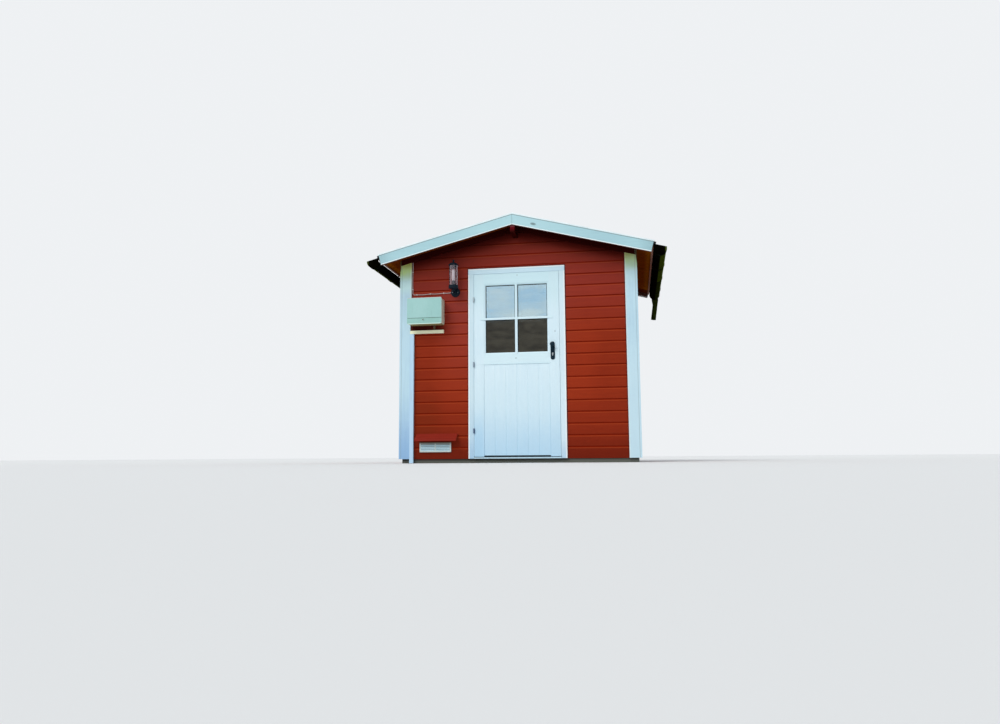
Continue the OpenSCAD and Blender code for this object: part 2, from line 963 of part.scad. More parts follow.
// Wall disc, arm, base ring, guard rods and domed cap of the lamp
module lamp_body() {
    rod_at = (cap_r + tube_r) / 2;
    color(black) {
        translate([lamp_x, front_y, disc_z])
            rotate([90, 0, 0])
                cylinder(r = disc_r, h = disc_t, $fn = 48);
        translate([lamp_x, front_y - disc_t + 1, disc_z])
            rotate([90, 0, 0])
                cylinder(r = arm_r, h = lamp_out - disc_t, $fn = 24);
        translate([lamp_x, front_y - lamp_out, tube_z]) {
            translate([0, 0, -tube_up - stem_down])
                cylinder(r = stem_r, h = tube_up + stem_down - base_h - 2, $fn = 32);
            translate([0, 0, -base_h - base_cone_h])
                cylinder(r1 = stem_r, r2 = cap_r, h = base_cone_h, $fn = 48);
            translate([0, 0, -base_h])
                cylinder(r = cap_r, h = base_h, $fn = 48);
            for (i = [0 : rod_n - 1])
                rotate([0, 0, (i + 0.5) * 360 / rod_n])
                    translate([rod_at, 0, -1])
                        cylinder(r = rod_r, h = tube_h + 2, $fn = 16);
            translate([0, 0, tube_h])
                cylinder(r = cap_r, h = cap_edge, $fn = 48);
            translate([0, 0, tube_h + cap_edge])
                cylinder(r1 = cap_r, r2 = stem_r, h = cap_h - cap_edge, $fn = 48);
            translate([0, 0, tube_h + cap_h - 1])
                cylinder(r = neck_r, h = ball_up, $fn = 24);
            translate([0, 0, tube_h + cap_h + ball_up])
                sphere(r = ball_r, $fn = 32);
        }
    }
}

module lamp_glass() {
    color([0.8, 0.85, 0.88])
        translate([lamp_x, front_y - lamp_out, tube_z])
            difference() {
                cylinder(r = tube_r, h = tube_h, $fn = 64);
                translate([0, 0, -1])
                    cylinder(r = tube_r - tube_t, h = tube_h + 2, $fn = 64);
            }
}

// A rounded oblong in X and Z with its lower left corner at the origin
module rounded(w, h, r) {
    for (x = [r, w - r])
        for (z = [r, h - r])
            translate([x, z])
                circle(r, $fn = 32);
    translate([r, 0])
        square([w - 2 * r, h]);
    translate([0, r])
        square([w, h - 2 * r]);
}

// Moulded box with a lid, a flap line, a latch knob and a gland below
module electric_box() {
    lid_y = front_y - box_d;
    color([0.74, 0.79, 0.74])
        translate([box_x, 0, box_bottom]) {
            difference() {
                union() {
                    along_y(lid_y + lid_t, front_y)
                        translate([lid_over, lid_over])
                            rounded(box_w - 2 * lid_over, box_h - 2 * lid_over, box_r);
                    along_y(lid_y, lid_y + lid_t + 1)
                        rounded(box_w, box_h, box_r);
                }
                along_y(lid_y - 1, lid_y + flap_in)
                    translate([-1, flap_h])
                        square([box_w + 2, flap_gap]);
            }
            translate([latch_at[0], lid_y + 1, latch_at[1]])
                rotate([90, 0, 0])
                    cylinder(r = latch_r, h = 8, $fn = 32);
            translate([gland_x, front_y - trunk_d / 2, -trunk_gap])
                cylinder(r = gland_r, h = trunk_gap + lid_over + 1, $fn = 32);
        }
}

// Level run under the box, joined to the upright run down to the ground
module cable_trunking() {
    top = box_bottom - trunk_gap;
    end_x = box_x + box_w - level_in;
    color([0.88, 0.86, 0.78])
        along_y(front_y - trunk_d, front_y)
            polygon([[trunk_x, 3], [trunk_x + trunk_w, 3], [trunk_x + trunk_w, top - level_h],
                [end_x, top - level_h], [end_x, top], [trunk_x, top]]);
}

// A saddle over the cable, with its feet on the wall
module clip() {
    bore = cable_r + seat_gap;
    difference() {
        block([-cable_r - clip_t, 0, -clip_w / 2], [cable_r + clip_t, 2 * bore + clip_t, clip_w / 2]);
        translate([0, bore, -clip_w])
            cylinder(r = bore, h = 2 * clip_w, $fn = 24);
        block([0.5 - cable_r, -1, -clip_w], [cable_r - 0.5, cable_r, clip_w]);
    }
}

// Clipped cable: down beside the corner board, then across to the lamp
module supply_cable() {
    lap = 1;
    low = [cable_x + cable_bend * (1 + sin(cable_rise)), bend_z + cable_bend * (1 - cos(cable_rise))];
    run = (cable_end - low[0]) / cos(cable_rise);
    color([0.88, 0.80, 0.80])
        translate([0, cable_y, 0]) {
            translate([cable_x, 0, bend_z + cable_bend - lap])
                cylinder(r = cable_r, h = cable_top - bend_z - cable_bend + lap, $fn = 24);
            translate([cable_x + cable_bend, 0, bend_z + cable_bend])
                rotate([90, 180, 0])
                    rotate_extrude(angle = 90 + cable_rise, $fn = 64)
                        translate([cable_bend, 0])
                            circle(cable_r + bend_swell, $fn = 24);
            translate([low[0], 0, low[1]])
                rotate([0, 90 - cable_rise, 0])
                    translate([0, 0, -lap])
                        cylinder(r = cable_r, h = run + lap, $fn = 24);
        }
    color(white) {
        for (z = clip_ups)
            translate([cable_x, front_y, bend_z + z])
                rotate([0, 0, 180])
                    clip();
        for (d = clip_runs)
            translate([low[0], front_y, low[1]])
                rotate([0, 90 - cable_rise, 0])
                    translate([0, 0, d])
                        rotate([0, 0, 180])
                            clip();
    }
}

// Frame with a middle bar and sloping louvres in both fields
module vent_grille() {
    field_w = (vent_w - 3 * vent_rim) / 2;
    field_h = vent_h - 2 * vent_rim;
    pitch = field_h / louvre_n;
    color(grey)
        translate([vent_x - vent_w / 2, front_y, wall_z + vent_z]) {
            difference() {
                block([0, -vent_d, 0], [vent_w, 0, vent_h]);
                for (x = [vent_rim, 2 * vent_rim + field_w])
                    block([x, -vent_d - 1, vent_rim], [x + field_w, -vent_back, vent_rim + field_h]);
            }
            for (i = [0 : louvre_n - 1])
                along_x(vent_rim - 1, vent_w - vent_rim + 1)
                    translate([0, vent_rim + i * pitch])
                        polygon([[1 - vent_back, pitch * 0.75], [louvre_in - vent_d, pitch * 0.1],
                            [louvre_in - vent_d, pitch * 0.35], [1 - vent_back, pitch]]);
        }
}

// Sloping board over the vent
module vent_hood() {
    low = wall_z + vent_z + vent_h + hood_gap;
    middle = vent_x + hood_side;
    color(red)
        along_x(middle - hood_w / 2, middle + hood_w / 2)
            polygon([[front_y, low + hood_drop], [front_y, low + hood_drop + hood_t],
                [front_y - hood_out, low + hood_t], [front_y - hood_out, low]]);
}

end_bearers();
floor_joists();
floor_deck();
front_wall_left();
front_wall_right();
front_wall_over_door();
rear_wall();
left_wall();
right_wall();
corner_posts();
front_corner_boards();
rear_corner_boards();
ridge_beam();
gable_rafters();
roof_deck_left();
roof_deck_right();
roof_felt_left();
roof_felt_right();
front_left_bargeboard();
front_right_bargeboard();
rear_left_bargeboard();
rear_right_bargeboard();
drip_edges();
eave_boards();
left_gutter();
right_gutter();
gutter_brackets();
downpipes();
left_jamb();
right_jamb();
door_head();
door_threshold();
door_leaf();
glazing_bars();
door_glass();
door_lock();
hinge_frame_halves();
hinge_leaf_halves();
lamp_body();
lamp_glass();
electric_box();
cable_trunking();
supply_cable();
vent_grille();
vent_hood();
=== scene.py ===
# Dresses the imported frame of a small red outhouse: boards, roof covering, rain goods, door and fittings
from math import atan, cos, degrees, pi, radians, sin, tau

import bmesh
import bpy
from mathutils import Matrix, Vector


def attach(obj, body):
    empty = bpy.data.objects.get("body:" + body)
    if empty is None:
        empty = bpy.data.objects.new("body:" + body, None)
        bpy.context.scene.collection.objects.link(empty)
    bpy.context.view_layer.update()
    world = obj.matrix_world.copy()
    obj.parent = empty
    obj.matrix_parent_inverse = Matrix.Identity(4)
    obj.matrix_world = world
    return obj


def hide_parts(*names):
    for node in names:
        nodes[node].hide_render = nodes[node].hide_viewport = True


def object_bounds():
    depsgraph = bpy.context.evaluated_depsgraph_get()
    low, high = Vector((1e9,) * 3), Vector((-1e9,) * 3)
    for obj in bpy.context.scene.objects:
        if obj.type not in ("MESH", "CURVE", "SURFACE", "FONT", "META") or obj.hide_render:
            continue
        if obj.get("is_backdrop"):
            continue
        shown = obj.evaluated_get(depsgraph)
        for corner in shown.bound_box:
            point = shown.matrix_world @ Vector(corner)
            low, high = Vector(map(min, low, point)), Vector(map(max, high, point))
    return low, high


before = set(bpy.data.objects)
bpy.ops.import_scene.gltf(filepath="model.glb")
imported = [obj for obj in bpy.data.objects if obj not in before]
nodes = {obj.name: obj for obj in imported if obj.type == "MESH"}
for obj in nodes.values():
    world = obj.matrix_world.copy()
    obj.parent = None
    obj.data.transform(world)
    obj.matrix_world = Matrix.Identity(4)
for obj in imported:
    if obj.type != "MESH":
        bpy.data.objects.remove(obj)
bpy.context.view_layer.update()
scene = bpy.context.scene
finishes = {}
print("frame loaded:", len(nodes), "nodes")


# A dictionary whose entries can be read as attributes too
class Values(dict):
    __getattr__ = dict.__getitem__


# A socket of a node tree, so that shader and geometry maths reads as plain sums
class Wire:
    def __init__(self, graph, socket):
        self.graph = graph
        self.socket = socket

    def __add__(self, other):
        return self.graph.calc("ADD", self, other)

    def __radd__(self, other):
        return self.graph.calc("ADD", other, self)

    def __sub__(self, other):
        return self.graph.calc("SUBTRACT", self, other)

    def __rsub__(self, other):
        return self.graph.calc("SUBTRACT", other, self)

    def __mul__(self, other):
        return self.graph.calc("MULTIPLY", self, other)

    def __truediv__(self, other):
        return self.graph.calc("DIVIDE", self, other)


class Graph:
    def __init__(self, tree):
        self.tree = tree

    def feed(self, socket, value):
        if isinstance(value, Wire):
            self.tree.links.new(value.socket, socket)
        else:
            socket.default_value = value

    # Any node: its type, the values or links of its sockets, the output that is wanted, and its settings
    def node(self, kind, values=None, out=0, **settings):
        made = self.tree.nodes.new(kind)
        for key, value in settings.items():
            setattr(made, key, value)
        for key, value in (values or {}).items():
            self.feed(made.inputs[key], value)
        return Wire(self, made.outputs[out])

    def calc(self, operation, *values):
        return self.node("ShaderNodeMath", dict(enumerate(values)), operation=operation)

    def absolute(self, value):
        return self.calc("ABSOLUTE", value)

    def larger(self, first, second):
        return self.calc("MAXIMUM", first, second)

    def smaller(self, first, second):
        return self.calc("MINIMUM", first, second)

    def bend(self, operation, *values):
        return self.node("ShaderNodeVectorMath", dict(enumerate(values)), operation=operation)

    def parts(self, vector):
        return [self.node("ShaderNodeSeparateXYZ", {0: vector}, k) for k in range(3)]

    def join(self, x, y, z):
        return self.node("ShaderNodeCombineXYZ", {0: x, 1: y, 2: z})

    # 0 below low, 1 above high, smooth between them; low may be the larger one
    def fade(self, value, low, high):
        return self.node("ShaderNodeMapRange", {0: value, 1: low, 2: high}, interpolation_type="SMOOTHSTEP")

    def blend(self, share, first, second):
        first, second = [(*c, 1) if isinstance(c, tuple) else c for c in (first, second)]
        return self.node("ShaderNodeMix", {0: share, 6: first, 7: second}, 2, data_type="RGBA")

    def noise(self, vector, scale, detail=3.0, rough=0.5, twist=0.0):
        return self.node("ShaderNodeTexNoise", {"Vector": vector, "Scale": scale, "Detail": detail,
            "Roughness": rough, "Distortion": twist})

    def cells(self, vector, scale, out="Distance"):
        return self.node("ShaderNodeTexVoronoi", {"Vector": vector, "Scale": scale}, out)


# A material with one shader, kept in finishes under its name
class Finish(Graph):
    def __init__(self, name):
        finishes[name] = bpy.data.materials.new(name)
        finishes[name].use_nodes = True
        super().__init__(finishes[name].node_tree)
        self.tree.nodes.clear()
        self.shader = self.tree.nodes.new("ShaderNodeBsdfPrincipled")
        output = self.tree.nodes.new("ShaderNodeOutputMaterial")
        self.tree.links.new(self.shader.outputs[0], output.inputs["Surface"])
        self.place = self.node("ShaderNodeTexCoord", out="Object")

    # Starts the colour as two tones in soft patches
    def patchy(self, patch, main, second):
        self.colour = self.blend(self.fade(patch, 0.35, 0.7), main, second)

    # Lays a further tone over the colour, as far as the mask lets it
    def cover(self, mask, tone):
        self.colour = self.blend(mask, self.colour, tone)

    def bump(self, height, depth, strength):
        return self.node("ShaderNodeBump", {"Height": height, "Distance": depth, "Strength": strength})

    def wear(self, rough, gloss=0.5, **more):
        for key, value in {"Base Color": self.colour, "Roughness": rough, "Specular IOR Level": gloss,
                **more}.items():
            self.feed(self.shader.inputs[key], value)


# A change of tone: it fades in between the two values given for x, y, z or for off, the distance from the
# middle, and out again between two more
def zone(colour, share, **where):
    return Values(colour=colour, share=share, where=where)


# Woods and paints: three tones each, the grain along axis 0, 1 or 2, and the weather they show; some of their
# zones are painted shade and light, as marked below
def paint(base, main, second, pale, **more):
    return Values(base, main=main, second=second, pale=pale, **more)


plainWood = dict(grain=0, rough=0.5, gloss=0.42, depth=0.0012, perBoard=0.0, knots=0.1, splash=0.0,
    wetTop=0.3, algae=(), zones=(), edges=(), marks=(), tips=())
whitePaint = dict(plainWood, depth=0.0007, rough=0.42)
redBoards = paint(plainWood, (0.285, 0.0275, 0.0064), (0.212, 0.0173, 0.0041), (0.4, 0.0765, 0.026),
    rough=0.58, gloss=0.06, perBoard=0.6, inside=True, splash=0.75, wetColour=(0.13, 0.0105, 0.0035),
    wetTop=0.42, knots=0.35, joints=(0.041, 0.12))
bareWood = paint(plainWood, (0.46, 0.29, 0.145), (0.34, 0.195, 0.09), (0.55, 0.38, 0.21), rough=0.62,
    gloss=0.25, perBoard=0.8, knots=1.0)
boxShadow = (0.022, 0.0005, 0.0002)
paleGreyLow = (0.12, 0.13, 0.11)
paintedLightWhite = (0.6, 0.86, 0.84)
frontOnly = (0.0, -0.1)
underBox = (1.395, 1.415, 1.465, 1.475)
woodValues = {
    "redBoardsFront": Values(redBoards, shade=(0.21, 0.04), shadeShare=0.96,
        zones=[zone((0.38, 0.13, 0.21), 0.06, z=(1.2, 2.0)),
        zone((0.38, 0.17, 0.21), 0.06, x=(0.8, -0.35), off=(0.95, 0.62), z=(0.6, 1.3, 1.7, 2.1)),
        zone((0.44, 0.045, 0.011), 0.22, off=(0.95, 0.7), z=(0.35, 0.8, 1.2, 1.6)),
        zone((0.15, 0.017, 0.0015), 0.45, x=(-0.72, -0.95), z=(0.95, 0.45), y=frontOnly),
        zone(boxShadow, 0.88, x=(-1.17, -1.13, -0.99, -0.87), z=underBox, y=frontOnly),
        zone(boxShadow, 0.6, x=(-0.98, -0.94, -0.85, -0.73), z=underBox, y=frontOnly)],
        # Painted shade: dark lines on the boards beside the door frame and beside the corner boards
        edges=[zone((0.11, 0.024, 0.024), 0.85, off=(0.5285, 0.5235), z=(2.077, 2.071), y=frontOnly),
        zone((0.11, 0.018, 0.016), 0.65, off=(1.126, 1.132), y=frontOnly)]),
    "redBoardsSide": Values(redBoards, grain=1),
    # The red timbers under the roof: red paint darkened nearly to black, which is painted shade
    "redTimber": paint(plainWood, (0.03, 0.0013, 0.0006), (0.02, 0.0008, 0.0004), (0.045, 0.004, 0.002),
        rough=0.6, gloss=0.03, knots=0.4,
        tips=((2.38, 2.425, (0.13, 0.003, 0.007)), (2.424, 2.44, (0.25, 0.065, 0.075)))),
    "redHood": paint(plainWood, (0.25, 0.02, 0.01), (0.185, 0.0125, 0.006), (0.36, 0.07, 0.04), rough=0.58,
        gloss=0.09, knots=0.4),
    "whiteUpright": paint(plainWood, (0.5, 0.7, 0.8), (0.4, 0.59, 0.72), (0.62, 0.78, 0.84), grain=2,
        depth=0.001, perBoard=0.3, algae=(1.94, 2.06, 0.95), moss=(2.06, 2.15, 0.85), splash=0.75,
        wetColour=(0.19, 0.37, 0.65), wetTop=0.85, windward=True, knots=0.15, stainTop=True,
        # Painted light: the corner boards paler just under the eave, against the eave's shade
        zones=[zone(paintedLightWhite, 0.75, x=(0.4, -0.4), z=(1.78, 1.9, 1.97, 2.05)),
        zone(paintedLightWhite, 0.3, x=(0.2, 0.6), z=(1.8, 1.92, 1.97, 2.05)),
        zone((0.56, 0.74, 0.82), 0.55, x=(0.2, 0.6), z=(1.5, 0.9))],
        edges=[zone((0.72, 0.78, 0.74), 0.5, off=(1.152, 1.148), z=(2.11, 2.06)),
        zone((0.72, 0.6, 0.3), 0.3, off=(1.152, 1.148), z=(2.05, 2.1)),
        zone((0.22, 0.3, 0.32), 0.42, off=(1.24, 1.2425, 1.2475, 1.25))]),
    "whiteSlope": paint(plainWood, (0.385, 0.62, 0.675), (0.33, 0.53, 0.6), (0.5, 0.74, 0.78), depth=0.001,
        knots=0.15, barge=True, marks=[(0.2209, 2.4437, 0.03, 0.0135, 14.4, 1.0)],
        # Painted shade: darker towards the outer ends of the bargeboards
        zones=[zone((0.24, 0.4, 0.44), 0.45, off=(1.26, 1.42))]),
    "whiteFrameUp": paint(whitePaint, (0.67, 0.81, 0.88), (0.6, 0.75, 0.84), (0.76, 0.88, 0.93), grain=2,
        splash=0.6, wetColour=(0.34, 0.52, 0.7),
        # Painted shade: the left jamb darker and bluer, most towards the bottom, and both jambs darker under
        # the eave
        zones=[zone((0.5, 0.68, 0.76), 0.4, x=(0.4, -0.4)),
        zone((0.36, 0.56, 0.74), 0.45, x=(0.4, -0.4), z=(0.75, 0.3)),
        zone((0.34, 0.58, 0.8), 0.35, x=(0.4, -0.4), z=(0.3, 0.1)),
        zone((0.44, 0.66, 0.72), 0.35, z=(1.55, 2.0))],
        edges=[zone((0.92, 0.93, 0.92), 0.9, off=(0.503, 0.5065))]),
    "whiteFrameLevel": paint(whitePaint, (0.575, 0.765, 0.855), (0.51, 0.7, 0.81), (0.7, 0.84, 0.9),
        splash=0.35, wetColour=(0.34, 0.5, 0.64), edges=[zone((0.9, 0.92, 0.9), 0.8, z=(2.045, 2.049))]),
    "leafUp": paint(whitePaint, (0.68, 0.83, 0.9), (0.6, 0.77, 0.87), (0.77, 0.89, 0.94), grain=2, rough=0.38,
        depth=0.0006, perBoard=0.35, splash=0.62, wetColour=(0.33, 0.56, 0.76), wetTop=0.72,
        marks=[(0.4072, 1.3587, 0.006, 0.01, 0.0, 0.4)],
        # Painted shade: the stiles darker at the top under the eave, a little darker towards the bottom, and
        # darker and bluer low on the left stile
        zones=[zone((0.5, 0.73, 0.78), 0.45, z=(1.45, 1.85)), zone((0.56, 0.75, 0.84), 0.3, z=(1.0, 0.6)),
        zone((0.34, 0.6, 0.82), 0.45, x=(-0.34, -0.37), z=(0.65, 0.2))]),
    "leafLevel": paint(whitePaint, (0.66, 0.83, 0.89), (0.6, 0.78, 0.86), (0.77, 0.89, 0.93), rough=0.38,
        depth=0.0006, splash=0.3, wetColour=(0.42, 0.62, 0.82),
        marks=[(0.0132, 1.9723, 0.01, 0.005, 0.0, 0.4), (-0.0057, 1.087, 0.012, 0.006, 0.0, 0.4)],
        # Painted shade: the top rail darker under the eave
        zones=[zone((0.5, 0.74, 0.8), 0.48, z=(1.55, 1.9))]),
    "stainedSlope": paint(plainWood, (0.15, 0.028, 0.0015), (0.105, 0.018, 0.001), (0.22, 0.06, 0.006),
        rough=0.7, gloss=0.0, perBoard=0.9, knots=0.8,
        zones=[zone((0.21, 0.062, 0.002), 0.8, off=(1.34, 1.39)),
        zone((0.035, 0.0015, 0.0005), 0.85, y=(0.88, 0.98))]),
    "stainedEave": paint(plainWood, (0.22, 0.07, 0.018), (0.14, 0.036, 0.009), (0.34, 0.15, 0.055), grain=1,
        rough=0.65, gloss=0.0, knots=0.6, lowEdge=(2.1306, (0.26, 0.14, 0.11))),
    "weathered": paint(plainWood, (0.058, 0.056, 0.047), (0.036, 0.034, 0.029), (0.12, 0.115, 0.095),
        rough=0.75, gloss=0.15, depth=0.0014, knots=0.6,
        # Paler grey at the very bottom
        zones=[zone(paleGreyLow, 0.65, z=(0.03, 0.016)),
        zone(paleGreyLow, 0.55, x=(0.5, 0.56), z=(0.044, 0.036))]),
    "bareTimber": bareWood,
    "bareTimberUp": Values(bareWood, grain=2),
}
grainValues = Values(squeeze=0.055, shift=(3.1, 5.3, 7.7), fibre=260.0, streak=46.0, cloud=2.1, knot=4.3)
bareValues = Values(main=(0.5, 0.33, 0.17), second=(0.38, 0.23, 0.11), knot=(0.12, 0.05, 0.02), roomX=1.2185,
    roomY=0.8875)
paintValues = Values(algae=(0.53, 0.73, 0.27), moss=(0.3, 0.28, 0.04), dark=(0.022, 0.0005, 0.0002),
    deep=(0.15, 0.006, 0.001), stain=(0.06, 0.022, 0.008), mark=(0.025, 0.042, 0.042), lip=(0.84, 0.94, 0.96),
    grime=(0.16, 0.22, 0.23), brown=(0.075, 0.016, 0.006), worn=(0.475, 0.078, 0.019),
    groove=(0.275, 0.014, 0.001))
roofValues = Values(ridge=2.50691, slope=0.256756, degrees=14.4, bargeLow=-0.055, dripLow=0.0555,
    beamHalf=0.03)


def wood(name):
    v, p, r, n = woodValues[name], paintValues, roofValues, grainValues
    f = Finish(name)
    tint = f.node("ShaderNodeAttribute", out="Fac", attribute_name="boardTint")
    squeeze = [1.0, 1.0, 1.0]
    squeeze[v.grain] = n.squeeze
    shifted = f.bend("ADD", f.place, f.join(*[tint * k for k in n.shift]))
    along = f.bend("MULTIPLY", shifted, tuple(squeeze))
    fibre = f.noise(along, n.fibre, 4.0, 0.6, 0.2)
    streak = f.noise(along, n.streak, 4.0, 0.55, 0.6)
    cloud = f.noise(f.place, n.cloud, 4.0, 0.6, 0.4)
    x, y, z = f.parts(f.place)
    offX, offY = f.absolute(x), f.absolute(y)
    # Knots: few, stretched along the grain
    stretched = f.bend("MULTIPLY", shifted, tuple(k ** 0.35 for k in squeeze))
    knot = f.fade(f.cells(stretched, n.knot), 0.075, 0.035)
    f.colour = f.blend(f.fade(streak, 0.3, 0.72) * 0.45 + f.fade(cloud, 0.35, 0.7) * 0.3, v.main, v.second)
    f.cover(tint * v.perBoard * 0.8, v.second)
    f.cover(f.fade(fibre, 0.62, 0.86) * 0.3, v.pale)
    f.cover(knot * (0.5 * v.knots), v.second)
    rough = v.rough + fibre * 0.12 - knot * 0.05

    def zoned(zones):
        for zone in zones:
            mask = zone.share
            for key, value in (("x", x), ("off", offX), ("y", y), ("z", z)):
                ends = zone.where.get(key, ())
                if ends:
                    mask = f.fade(value, ends[0], ends[1]) * mask
                if len(ends) == 4:
                    mask = f.fade(value, ends[3], ends[2]) * mask
            f.cover(mask, zone.colour)

    zoned(v.zones)
    # The boards left of the door carry more algae, and more of the painted shade at the bottom
    windward = f.fade(x, 0.4, -0.4) if "windward" in v else 1.0
    if v.algae:
        low, high, share = v.algae
        grown = (f.fade(f.noise(f.place, 7.0, 4.0, 0.65), 0.1, 0.55) * 0.5 + 0.5) * (windward * 0.2 + 0.8)
        patch = f.fade(z, low, high) * grown
        f.cover(patch * share, p.algae)
        low, high, share = v.moss
        f.cover(f.fade(z, low, high) * grown * share, p.moss)
        rough = rough + patch * 0.25
    # Darker towards the bottom in soft patches: on the white paints this is painted shade, bluish, and on the
    # red boards a darker red
    if v.splash:
        lowDark = f.fade(z + (f.noise(f.place, 24.0, 5.0, 0.7) - 0.5) * 0.16, v.wetTop, 0.04)
        f.cover(lowDark * v.splash * windward, v.wetColour)
        rough = rough + lowDark * 0.15
    for markX, markZ, halfWide, halfHigh, tilt, share in v.marks:
        a = radians(tilt)
        across = (x - markX) * cos(a) - (z - markZ) * sin(a)
        upward = (x - markX) * sin(a) + (z - markZ) * cos(a)
        away = across * across * halfWide ** -2 + upward * upward * halfHigh ** -2
        f.cover(f.fade(away, 1.6, 0.2) * f.fade(y, *frontOnly) * share, p.mark)
    if "joints" in v:
        # The top edge of each board gets a painted highlight, and the groove over it painted shade in a
        # deeper red
        first, pitch = v.joints
        level = f.calc("FRACT", (z - first) / pitch)
        f.cover(f.fade(level, 0.835, 0.865) * 0.3, p.worn)
        groove = f.larger(f.fade(level, 0.925, 0.932), f.fade(level, 0.056, 0.05))
        f.cover(groove * 0.9, p.groove)
    if "shade" in v:
        # Painted shade under the roof overhang, on the gable's face only: a deep red band, then near black
        # just under the bargeboards
        below = r.ridge - offX * r.slope - z + (streak - 0.5) * 0.03
        wide = f.fade(x, 0.4, 0.1) * v.shade[1] + v.shade[0]
        face = f.fade(offY, 0.895, 0.905)
        f.cover(f.fade(below, wide - 0.05, 0.08) * face * 0.7, p.deep)
        f.cover(f.fade(below, wide, 0.0) * face * v.shadeShare, p.dark)
    # The beam's front end, paler just under the bargeboards: less of the painted shade there
    for low, high, colour in v.tips:
        end = f.fade(y, -1.13, -1.15) * f.fade(z, low, high) * f.fade(offX, r.beamHalf, r.beamHalf - 0.004)
        f.cover(end * 0.9, colour)
    # Painted highlight: a paler line along the lower edge of the eave boards
    if "lowEdge" in v:
        level, colour = v.lowEdge
        f.cover(f.fade(z, level + 0.003, level + 0.001) * 0.85, colour)
    if "stainTop" in v:
        # The narrow face beside the wall is dark brown under the eave, wholly so over the wide board
        narrow = f.fade(offX, 1.256, 1.2575) * f.fade(z, 2.02, 2.1)
        wide = f.fade(offX, 1.2462, 1.2468) * f.fade(z, 2.124, 2.13)
        f.cover(f.larger(narrow, wide) * 0.9, p.stain)
    if "barge" in v:
        # Paler towards the ridge, a painted highlight on the lower lip, a dark brown underside, the seam
        # under the metal edge, the joint at the ridge, and a dark brown inner side
        a = radians(r.degrees)
        height = (z - r.ridge) * cos(a) + offX * sin(a)
        f.cover(f.fade(offX, 0.9, 0.0) * 0.35, v.pale)
        edge = f.fade(height, r.bargeLow + 0.0125, r.bargeLow + 0.01)
        f.cover(edge, p.lip)
        f.cover(f.fade(height, r.bargeLow + 0.004, r.bargeLow + 0.0028), p.brown)
        seam = f.fade(f.absolute(height - (r.dripLow - 0.004)), 0.0065, 0.003)
        f.cover(seam * 0.65, p.grime)
        f.cover(f.fade(offX, 0.0022, 0.001) * 0.8, p.grime)
        f.cover(f.fade(offY, 1.1526, 1.1522) * (1 - edge), p.brown)
    zoned(v.edges)
    if "inside" in v:
        # The same boards are bare on the room's side
        b = bareValues
        within = f.fade(offX, b.roomX + 0.0005, b.roomX) * f.fade(offY, b.roomY + 0.0005, b.roomY)
        bare = f.blend(knot, f.blend(f.fade(streak, 0.3, 0.7), b.main, b.second), b.knot)
        f.cover(within, bare)
    height = fibre * 0.35 + streak * 0.65 - knot * 0.3
    f.wear(rough, v.gloss, Normal=f.bump(height, v.depth, 0.55))


# Painted or bare metal; lower is a tone by height, with the heights where it starts and is whole
def metal(name, main, second, rough, metallic=0.0, scale=40.0, depth=0.0004, gloss=0.5, lower=None):
    f = Finish(name)
    patch = f.noise(f.place, scale * 0.2, 4.0, 0.6)
    speck = f.noise(f.place, scale * 8.0, 3.0, 0.6)
    f.patchy(patch, main, second)
    if lower:
        start, whole, colour = lower
        f.cover(f.fade(f.parts(f.place)[2], start, whole), colour)
    f.wear(rough + patch * 0.14 - 0.05, gloss, Metallic=metallic, Normal=f.bump(speck, depth, 0.35))


# Plastic with a fine skin and a little grime; sides and undersides may get other tones by the way they face,
# which is painted light and shade, and a level may be of another tone
def plastic(name, main, second, rough=0.38, grime=(0.1, 0.11, 0.09), dirty=0.25, sides=None, below=None,
        level=None):
    f = Finish(name)
    skin = f.noise(f.place, 900.0, 2.0, 0.5)
    patch = f.noise(f.place, 6.0, 4.0, 0.6)
    run = f.noise(f.bend("MULTIPLY", f.place, (1.0, 1.0, 0.08)), 60.0, 4.0, 0.6)
    f.patchy(patch, main, second)
    facing = f.parts(f.node("ShaderNodeNewGeometry", out="Normal"))
    if sides:
        f.cover(f.fade(f.absolute(facing[0]), 0.6, 0.9), sides)
    if level:
        start, whole, colour = level
        f.cover(f.fade(f.parts(f.place)[2], start, whole), colour)
    if below:
        f.cover(f.fade(facing[2], -0.6, -0.9), below)
    f.cover(f.fade(run, 0.58, 0.85) * dirty, grime)
    f.wear(rough + patch * 0.12, Normal=f.bump(skin, 0.0002, 0.4))


gutterValues = Values(main=(0.0012, 0.0008, 0.0005), second=(0.0024, 0.002, 0.001),
    green=(0.03, 0.044, 0.0025), pipe=(0.022, 0.034, 0.005), rim=(0.08, 0.11, 0.02), lime=(0.16, 0.18, 0.17),
    fromX=1.4983, rimZ=2.13)


